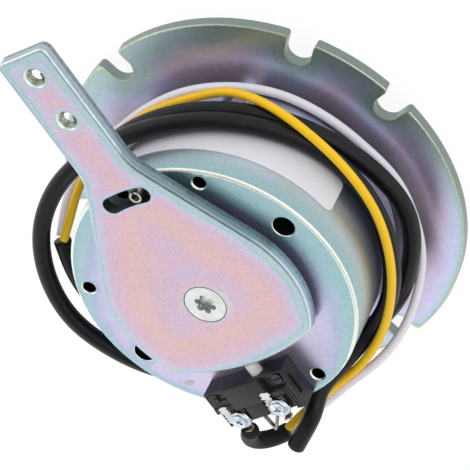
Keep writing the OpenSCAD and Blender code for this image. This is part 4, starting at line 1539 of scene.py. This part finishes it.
@dataclass
class SideLabel:
    """Bare label glued round the body's side.

    Attributes:
        start: Direction of its first end in degrees.
        span: Angle that it covers.
        low_mm: Level of its lower edge.
        width_mm: Its width.
        corner_mm: Rounding of its corners.
        inner_mm: Radius of its glued face.
        thick_mm: Its thickness.
    """

    start: float = -5.5
    span: float = 88.0
    low_mm: float = 31.0
    width_mm: float = 18.0
    corner_mm: float = 3.0
    inner_mm: float = 56.55
    thick_mm: float = 0.2

    def build(self) -> Object:
        """Cuts the flat label, rounds its corners and bends it round the body."""
        mesh = bmesh.new()
        length = math.radians(self.span) * self.inner_mm
        bmesh.ops.create_grid(mesh, x_segments=1, y_segments=1, size=0.5,
                              matrix=Matrix.Translation((0.5, 0.5, 0.0)))
        bmesh.ops.scale(mesh, vec=(length * MM, self.width_mm * MM, 1.0), verts=mesh.verts)
        bevel(mesh, mesh.verts[:], self.corner_mm, 6, "VERTICES")
        self._cut_strips(mesh, length)
        bmesh.ops.solidify(mesh, geom=mesh.faces[:], thickness=self.thick_mm * MM)
        low = min(vert.co.z for vert in mesh.verts)
        for vert in mesh.verts:
            turn = self.start + math.degrees(vert.co.x / MM / self.inner_mm)
            vert.co = polar(self.inner_mm + (vert.co.z - low) / MM, turn,
                            self.low_mm + vert.co.y / MM)
        face_out(mesh)
        return Shop.piece(mesh, "side_label", LabelFilm("label_film"), Body.HOUSING, node="label")

    @staticmethod
    def _cut_strips(mesh: Mesh, length_mm: float) -> None:
        """Cuts the flat label across every 1.5 mm, so that it bends smoothly.

        Args:
            mesh: The flat label.
            length_mm: Its length.
        """
        count = round(length_mm / 1.5)
        for i in range(1, count):
            cut(mesh, (length_mm * i / count * MM, 0, 0), (1, 0, 0))


# ---------------------------------------------------------------- brake


class Brake:
    """The brake's rigid pieces, from the motor side to the lever."""

    def build(self) -> None:
        """Builds the plated pieces and dresses the others."""
        PlatedPart("mounting_plate", Body.HOUSING, PLATE_ZINC, 0.5, 3.0, 5.0, segments=3).build()
        PlatedPart("magnet_body", Body.HOUSING, BODY_ZINC, 0.25, 3.0, BODY_FACE_MM, "xyz",
                   rim_r_mm=56.2).build()
        PlatedPart("release_lever", Body.LEVER, LEVER_ZINC, 0.2, 2.0, LEVER_TOP_MM, rolled_mm=1.4,
                   rise=1.2).build()
        RodThreads().build()
        SoftEdged("star_screw", Body.LEVER, STAR_STEEL, 0.18).build()
        SoftEdged("stop_pin", Body.HOUSING, PIN_STEEL, 0.25).build()
        SideLabel().build()
        Smear("thread_lock_smear", Body.LEVER, ThreadLock("thread_lock_film"),
              (0, 0, LEVER_TOP_MM + MARK_GAP_MM)).build()
        InkMark("ink_mark", Body.HOUSING, INK, (-43.6, -25.2, BODY_FACE_MM + MARK_GAP_MM)).build()
        self._seat_shadow()
        Shop.dress(POST_ZINC, "spacer_posts", "post_screws")
        Shop.dress(ARMATURE_STEEL, "armature_plate", "drive_pins")
        Shop.dress(GROUND_STEEL, "rotor_carrier", "release_spindle")
        Shop.dress(FrictionPad("friction_lining"), "lining_rear", "lining_front")
        Shop.dress(HUB_STEEL, "shaft_hub")
        Shop.dress(BOBBIN_PLASTIC, "coil_bobbin")
        Shop.dress(CopperWire("coil_wire"), "coil_winding")
        self._springs()
        Shop.dress(BALL_STEEL, "ramp_balls")

    @staticmethod
    def _springs() -> None:
        """Redraws the brake springs on a mesh of their own; in the brake, the armature squashes
        them as it slides.
        """
        piece = Shop.piece(Shop.merged_copy("brake_springs"), "brake_springs_wound", SPRING_STEEL,
                           Body.HOUSING, 40.0, node="brake_springs")
        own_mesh(piece)

    @staticmethod
    def _seat_shadow() -> None:
        """Draws a dark ring where the star screw's head meets the lever, a painted shadow in the
        gap round the head.
        """
        mesh = bmesh.new()
        inner, outer, foot, top = 8.16, 8.42, LEVER_TOP_MM - 0.3, LEVER_TOP_MM + 0.03
        lathe(mesh, Vector(), ((inner, foot), (inner, top), (outer, top), (outer, foot)), 72)
        face_out(mesh)
        # A black ring stands in for the shadow in the gap round the head.
        Shop.piece(mesh, "star_screw_seat_shadow", BLACK_BASE, Body.LEVER, 30.0)


# ---------------------------------------------------------------- limit switch


SWITCH_TURN = Matrix.Rotation(math.radians(-12.8), 3, "Z")
SWITCH_FACE_MM = 71.3
SWITCH_FLOOR_MM = 70.5

# Raised parts of the cover: height of the top above the face, and corners of the plan.
COVER_RELIEF: tuple[tuple[float, tuple[Spot, ...]], ...] = (
    (0.7, ((-18.0, -36.3), (-0.9, -36.3), (-0.9, -43.6), (-3.6, -46.1), (-18.0, -46.1))),
    (-0.25, ((6.4, -43.9), (7.3, -43.9), (7.3, -54.1), (6.4, -54.1))),
    (0.0, ((7.8, -43.5), (8.7, -42.7), (8.7, -54.1), (7.8, -54.1))),
    (0.25, ((9.2, -42.3), (10.35, -41.2), (10.35, -54.15), (9.2, -54.15))),
    (0.0, ((9.7, -36.3), (10.35, -36.3), (10.35, -41.0), (9.7, -41.5))),
    (-0.15, ((-0.7, -43.9), (6.1, -43.9), (6.1, -46.1), (-0.7, -46.1))),
    (0.0, ((-14.4, -46.4), (-5.9, -46.4), (-5.9, -52.6), (-14.4, -52.6))),
    (-0.3, ((-27.5, -43.6), (-18.5, -43.6), (-18.5, -46.1), (-27.5, -46.1))),
)
# Pockets of the cover: depth below the floor, and corners of the plan.
COVER_POCKETS: tuple[tuple[float, tuple[Spot, ...]], ...] = (
    (1.3, ((-0.2, -36.7), (-0.2, -42.6), (0.6, -43.4), (7.7, -43.4), (9.4, -41.6), (9.4, -36.7))),
    (0.6, ((-27.0, -37.6), (-27.0, -40.9), (-19.0, -40.9), (-19.0, -37.6))),
)
# Turned parts of the cover: place, and radii with heights above the floor.
COVER_BOSSES: tuple[tuple[Spot, tuple[Spot, ...]], ...] = (
    ((5.6, -39.4), ((0.8, -1.3), (0.8, -0.2), (1.0, 0.0), (1.5, 0.0), (1.7, -0.2), (1.7, -1.3))),
    ((-25.2, -39.3), ((0.0, 0.4), (1.1, 0.4), (1.35, 0.15), (1.4, -0.6))),
    ((2.0, -39.8), ((0.0, -0.9), (0.6, -0.9), (0.8, -1.3))),
    ((-10.2, -49.9), ((0.0, 0.92), (1.1, 0.92), (1.3, 0.8), (1.3, 0.5))),
)
FORK_PLAN: tuple[Spot, ...] = (
    (-10.4, -52.4), (-11.2, -52.6), (-10.2, -61.0), (-9.4, -61.0), (-4.2, -54.6), (-4.9, -54.0),
    (-9.7, -59.7),
)


def on_switch(spot: Iterable[float], level_mm: float = 0.0) -> Vector:
    """A point in metres from a place in the switch's own frame and a level."""
    return SWITCH_TURN @ (Vector((*spot, level_mm)) * MM)


def switch_prism(mesh: Mesh, outline: Sequence[Spot], low_mm: float, high_mm: float,
                 soft_mm: float = 0.18) -> None:
    """Adds an upright prism in the switch's own frame, with its upper edges rounded.

    Args:
        mesh: The bmesh that it is added to.
        outline: Corners of its plan in millimetres.
        low_mm: Level of its foot.
        high_mm: Level of its top.
        soft_mm: Rounding of its edges.
    """
    verts = [mesh.verts.new(on_switch(spot, low_mm)) for spot in outline]
    top = extrude(mesh, [mesh.faces.new(verts)], high_mm - low_mm)
    face_out(mesh, once(face for vert in (*verts, *top) for face in vert.link_faces))
    bevel(mesh, once(edge for vert in top for edge in vert.link_edges), soft_mm)


def sink(mesh: Mesh, outline: Sequence[Spot], level_mm: float, depth_mm: float) -> None:
    """Sinks a pocket with a convex outline into a flat top, in the switch's own frame.

    Args:
        mesh: The bmesh, whose top faces lie at the level.
        outline: Corners of the pocket in millimetres.
        level_mm: Level of the top.
        depth_mm: Depth of the pocket.
    """
    corners = [on_switch(spot, level_mm) for spot in outline]
    middle = sum(corners, Vector()) / len(corners)
    sides = []
    for start, end in zip(corners, corners[1:] + corners[:1]):
        normal = (end - start).cross(Vector((0, 0, 1))).normalized()
        sides.append((start, normal if normal.dot(start - middle) > 0 else -normal))

    def top_faces() -> list[Face]:
        """The faces that lie at the level."""
        return [face for face in mesh.faces
                if face.normal.z > 0.99 and abs(face.calc_center_median().z - level_mm * MM) < 1e-5]

    for place, normal in sides:
        cut(mesh, place, normal, top_faces())
    inside = [face for face in top_faces()
              if all((face.calc_center_median() - place).dot(normal) < 0
                     for place, normal in sides)]
    extrude(mesh, inside, -depth_mm)
    bmesh.ops.delete(mesh, geom=inside, context="FACES_ONLY")
    face_out(mesh)


class SwitchCover:
    """The switch's cover, with its raised field, sunk pocket, bosses and walls."""

    def build(self) -> None:
        """Makes the cover and hides its CAD node."""
        mesh = self._cut_down()
        for depth, outline in COVER_POCKETS:
            sink(mesh, outline, SWITCH_FLOOR_MM, depth)
        soften(mesh, 0.2)
        Shop.piece(mesh, "switch_cover_case", BLACK_CASE, Body.HOUSING, weighted=True,
                   node="switch_cover")
        top, bosses = bmesh.new(), bmesh.new()
        for height, outline in COVER_RELIEF:
            switch_prism(top, outline, SWITCH_FLOOR_MM, SWITCH_FACE_MM + height)
        for spot, profile in COVER_BOSSES:
            lathe(bosses, on_switch(spot), [(r, SWITCH_FLOOR_MM + z) for r, z in profile], 32)
        face_out(bosses)
        Shop.piece(top, "switch_cover_top", BLACK_FIELD, Body.HOUSING, 30.0)
        Shop.piece(bosses, "switch_cover_bosses", BLACK_FIELD, Body.HOUSING, 30.0)

    @staticmethod
    def _cut_down() -> Mesh:
        """The CAD cover, cut off at the pocket's floor."""
        mesh = Shop.merged_copy("switch_cover")
        made = cut(mesh, (0, 0, SWITCH_FLOOR_MM * MM), (0, 0, 1), clear=True)
        rim = [item for item in made if isinstance(item, Edge)]
        bmesh.ops.triangle_fill(mesh, edges=rim, use_beauty=True, use_dissolve=True,
                                normal=(0, 0, 1))
        face_out(mesh)
        return mesh


@dataclass
class DomedScrew:
    """A domed screw head with a cross recess, over the CAD screw's shank.

    Attributes:
        centre_mm: Its place in the switch's own frame.
        turn: Direction of the recess in degrees.
        foot_mm: Level of its underside.
        radius_mm: Its radius.
        height_mm: Height of the dome.
        rim_mm: Height of its rim.
        slot_mm: Half width and half length of the recess.
        deep_mm: Depth of the recess.
        taper: Size of the recess's floor beside its mouth.
    """

    centre_mm: Spot
    turn: float
    foot_mm: float = 70.5
    radius_mm: float = 4.25
    height_mm: float = 2.6
    rim_mm: float = 0.5
    slot_mm: Spot = (0.52, 2.05)
    deep_mm: float = 1.0
    taper: float = 0.72

    def add(self, mesh: Mesh) -> None:
        """Adds the head.

        Args:
            mesh: The bmesh that it is added to.
        """
        radius, rim = self.radius_mm, self.rim_mm
        profile = [(0.0, 0.0), (radius * 0.97, 0.0), (radius, 0.12), (radius, rim)]
        for angle in range(10, 90, 10):
            out, up = math.cos(math.radians(angle)), math.sin(math.radians(angle))
            profile.append((radius * out ** 0.8, rim + (self.height_mm - rim) * up ** 1.25))
        profile.append((0.0, self.height_mm))
        self._cut_cross(mesh, lathe(mesh, on_switch(self.centre_mm),
                                    [(r, self.foot_mm + z) for r, z in profile], 48))

    def _cut_cross(self, mesh: Mesh, verts: list[Vert]) -> None:
        """Cuts the cross recess into the dome.

        Args:
            mesh: The bmesh.
            verts: Points of the dome.
        """
        axis = on_switch(self.centre_mm)
        turn = Matrix.Rotation(math.radians(self.turn), 3, "Z")
        half, long = self.slot_mm
        for normal in (turn.col[0], turn.col[1]):
            for offset in (-half, half, -long, long):
                made = cut(mesh, axis + normal * offset * MM, normal, self._faces(verts, 0.8))
                verts = verts + verts_of(made)
        sunk = []
        for face in self._faces(verts, 0.9):
            spot = turn.transposed() @ (face.calc_center_median() - axis)
            near, far = sorted((abs(spot.x), abs(spot.y)))
            if near < half * MM and far < long * MM:
                sunk.append(face)
        floor = extrude(mesh, sunk)
        bmesh.ops.delete(mesh, geom=sunk, context="FACES_KEEP_BOUNDARY")
        for vert in floor:
            flat = vert.co - axis
            vert.co = axis + Vector((flat.x * self.taper, flat.y * self.taper,
                                     flat.z - self.deep_mm * MM))

    def _faces(self, verts: list[Vert], above_mm: float) -> list[Face]:
        """The faces at some points that lie higher than a height above the foot."""
        return once(face for vert in verts if vert.is_valid for face in vert.link_faces
                    if face.calc_center_median().z > (self.foot_mm + above_mm) * MM)


@dataclass
class ClampTeeth:
    """Toothed edge of a terminal clamp, bent down over the step of the cover.

    Attributes:
        start_mm: Its upper end in the switch's own frame.
        end_mm: Its lower end.
        half_mm: Half of its mean width.
        high_mm: Level of the part that lies on the cover.
        low_mm: Level of the part beyond the step.
        step_mm: Where the step starts, and how long its slope is.
        rows: Number of points along it.
    """

    start_mm: Spot
    end_mm: Spot
    half_mm: float
    high_mm: float
    low_mm: float = 70.7
    step_mm: Spot = (-45.9, 1.2)
    rows: int = 13

    def add(self, mesh: Mesh) -> None:
        """Adds the strip.

        Args:
            mesh: The bmesh that it is added to.
        """
        start, end = Vector(self.start_mm), Vector(self.end_mm)
        across = (end - start).normalized().orthogonal()
        left, right = [], []
        for i in range(self.rows):
            spot = start.lerp(end, i / (self.rows - 1))
            drop = min(1.0, max(0.0, (self.step_mm[0] - spot.y) / self.step_mm[1]))
            level = self.high_mm * (1.0 - drop) + self.low_mm * drop
            reach = self.half_mm + (0.6 if i % 2 else -0.3)
            for column, side in ((left, -reach), (right, reach - 0.5)):
                column.append(mesh.verts.new(on_switch(spot + across * side, level)))
        faces = [mesh.faces.new(corners) for corners in zip(left, left[1:], right[1:], right)]
        face_out(mesh, faces)
        bmesh.ops.solidify(mesh, geom=faces, thickness=0.5 * MM)


class LimitSwitch:
    """The limit switch and its terminals."""

    def build(self) -> None:
        """Builds the switch's pieces."""
        SoftEdged("switch_base", Body.HOUSING, BLACK_BASE, 0.3).build()
        SwitchCover().build()
        SoftEdged("switch_plunger", Body.PLUNGER, WHITE_NYLON, 0.9, 4).build()
        SoftEdged("switch_fixings", Body.HOUSING, BLACK_BASE, 0.1).build()
        SoftEdged("terminal_plates", Body.HOUSING, TERMINAL_BRASS, 0.12).build()
        SoftEdged("terminal_clamps", Body.HOUSING, CLAMP_ZINC, 0.12).build()
        self._screws()
        self._teeth()
        self._fork()

    @staticmethod
    def _screws() -> None:
        """Sets the domed heads on the CAD screws."""
        mesh = bmesh.new()
        DomedScrew((-19.7, -51.2), 24.0).add(mesh)
        DomedScrew((-0.6, -51.2), 62.0).add(mesh)
        face_out(mesh)
        Shop.piece(mesh, "terminal_screw_heads", SCREW_STEEL, Body.HOUSING, 38.0)
        Shop.dress(SCREW_STEEL, "terminal_screws")

    @staticmethod
    def _teeth() -> None:
        """Bends the toothed strips of the clamps."""
        mesh = bmesh.new()
        ClampTeeth((-23.2, -43.4), (-23.8, -51.8), 1.6, 71.5).add(mesh)
        ClampTeeth((-1.4, -42.6), (-4.9, -54.2), 1.9, 72.2).add(mesh)
        face_out(mesh)
        Shop.piece(mesh, "terminal_clamp_teeth", CLAMP_ZINC, Body.HOUSING, 30.0)

    @staticmethod
    def _fork() -> None:
        """Bends the free tail of the right terminal into its open fork."""
        mesh = bmesh.new()
        switch_prism(mesh, FORK_PLAN, 68.3, 70.0, 0.1)
        Shop.piece(mesh, "terminal_fork", TERMINAL_BRASS, Body.HOUSING, 30.0)


# ---------------------------------------------------------------- studio


# Colours of the world, from the horizon and all below it to the zenith.
SKY_STOPS: tuple[Stop, ...] = (
    (0.0, (1.15, 1.15, 1.173)), (0.42, (0.95, 0.95, 0.969)), (0.9, (0.30, 0.30, 0.306)),
)
GLOW_SIDE: Place = (0.70, -0.10, 0.70)
GLOW_RANGE = {"From Min": 0.80, "From Max": 0.97, "To Min": 1.0, "To Max": 2.1}


@dataclass
class Studio:
    """Floor, lamps, world and camera.

    Attributes:
        eye: Place of the camera.
        look: Direction that it looks in.
        up: Direction of the image's upper edge.
        lens: Focal length in millimetres on a sensor of 36 mm.
    """

    eye: Vector = field(default_factory=lambda: Vector((0.7441, 0.2704, 0.8432)))
    look: Vector = field(default_factory=lambda: Vector((-0.6560, -0.2362, -0.7168)))
    up: Vector = field(default_factory=lambda: Vector((0.4367, 0.6559, -0.6157)))
    lens: float = 229.8

    def camera(self) -> None:
        """Places the camera as the photograph was taken."""
        data = bpy.data.cameras.new("photo_camera")
        data.lens = self.lens
        data.sensor_width = 36.0
        data.clip_end = 20.0
        camera = bpy.data.objects.new("photo_camera", data)
        back = -self.look.normalized()
        right = self.up.cross(back).normalized()
        up = back.cross(right)
        turn = Matrix((right, up, back)).transposed().to_4x4()
        camera.matrix_world = Matrix.Translation(self.eye) @ turn
        bpy.context.scene.collection.objects.link(camera)
        bpy.context.scene.camera = camera

    def lamps(self) -> None:
        """Hangs the soft boxes."""
        self._soft_box("key_box", (-1.05, -0.40, 1.15), (1.5, 1.5), 4.3)
        self._soft_box("front_fill", (1.3, 1.0, 1.1), (0.9, 0.9), 3.6, glossy=False)
        self._soft_box("left_box", (-0.3, 1.6, 0.5), (1.0, 0.6), 1.6)

    @staticmethod
    def _soft_box(name: str, place: Place, size: Spot, power: float, glossy: bool = True) -> None:
        """Hangs one rectangular lamp that faces the brake.

        Args:
            name: Name of the lamp.
            place: Its centre.
            size: Its two sides.
            power: Its power in watts.
            glossy: Whether metal mirrors it.
        """
        data = bpy.data.lights.new(name, "AREA")
        data.shape = "RECTANGLE"
        data.size, data.size_y = size
        data.energy = power
        lamp = bpy.data.objects.new(name, data)
        lamp.location = place
        lamp.visible_glossy = glossy
        lamp.rotation_euler = (-Vector(place)).to_track_quat("-Z", "Y").to_euler()
        bpy.context.scene.collection.objects.link(lamp)

    def world(self) -> None:
        """Lights the brake from all round, paler above, with white behind it."""
        world = bpy.data.worlds.new("studio")
        bpy.context.scene.world = world
        world.use_nodes = True
        tree = Tree(world.node_tree)
        way = tree.node("TexCoord", "Generated")
        sky = tree.ramp(tree.node("SeparateXYZ", 2, Vector=way), SKY_STOPS, "LINEAR")
        toward = tree.make("VectorMath")
        toward.operation = "DOT_PRODUCT"
        toward.inputs[1].default_value = Vector(GLOW_SIDE).normalized()
        tree.link(way, toward.inputs[0])
        glow = tree.make("MapRange")
        glow.interpolation_type = "SMOOTHSTEP"
        for key, value in GLOW_RANGE.items():
            glow.inputs[key].default_value = value
        tree.link(toward.outputs["Value"], glow.inputs["Value"])
        soft = tree.node("Background", 0, Color=sky, Strength=glow.outputs["Result"])
        white = tree.node("Background", 0, Color=WHITE)
        surface = tree.make("OutputWorld").inputs["Surface"]
        tree.join(tree.node("LightPath", "Is Camera Ray"), soft, white, surface)

    def floor(self) -> None:
        """Lays a wide pale floor under the brake."""
        mesh = bmesh.new()
        bmesh.ops.create_circle(mesh, cap_ends=True, radius=6.0, segments=64,
                                matrix=Matrix.Translation((0, 0, -0.0004)))
        data = bpy.data.meshes.new("studio_floor")
        mesh.to_mesh(data)
        mesh.free()
        data.materials.append(self._floor_paint())
        floor = bpy.data.objects.new("studio_floor", data)
        bpy.context.scene.collection.objects.link(floor)

    @staticmethod
    def _floor_paint() -> Material:
        """White floor paint that keeps a light shadow."""
        graph = Graph("studio_floor_paint")
        graph.set(Base_Color=(0.86, 0.86, 0.86), Roughness=0.9)
        glow = graph.node("Emission", 0, Color=WHITE, Strength=1.14)
        seen = graph.math("MAXIMUM", graph.node("LightPath", "Is Camera Ray"),
                          graph.node("LightPath", "Is Glossy Ray"))
        seen = graph.math("MAXIMUM", seen, graph.node("LightPath", "Is Transmission Ray"))
        share = graph.math("MULTIPLY", seen, 0.75)
        graph.join(share, graph.shader.outputs[0], glow, graph.output.inputs["Surface"])
        return graph.material

    def build(self) -> None:
        """Sets up the studio."""
        self.lamps()
        self.world()
        self.floor()
        bpy.context.scene.view_settings.view_transform = "Standard"


def main() -> None:
    """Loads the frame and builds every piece."""
    logging.basicConfig(level=logging.INFO, format="%(message)s")
    Shop.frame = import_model()
    studio = Studio()
    studio.camera()
    Leads().build()
    Brake().build()
    LimitSwitch().build()
    studio.build()


if __name__ == "__main__":
    main()
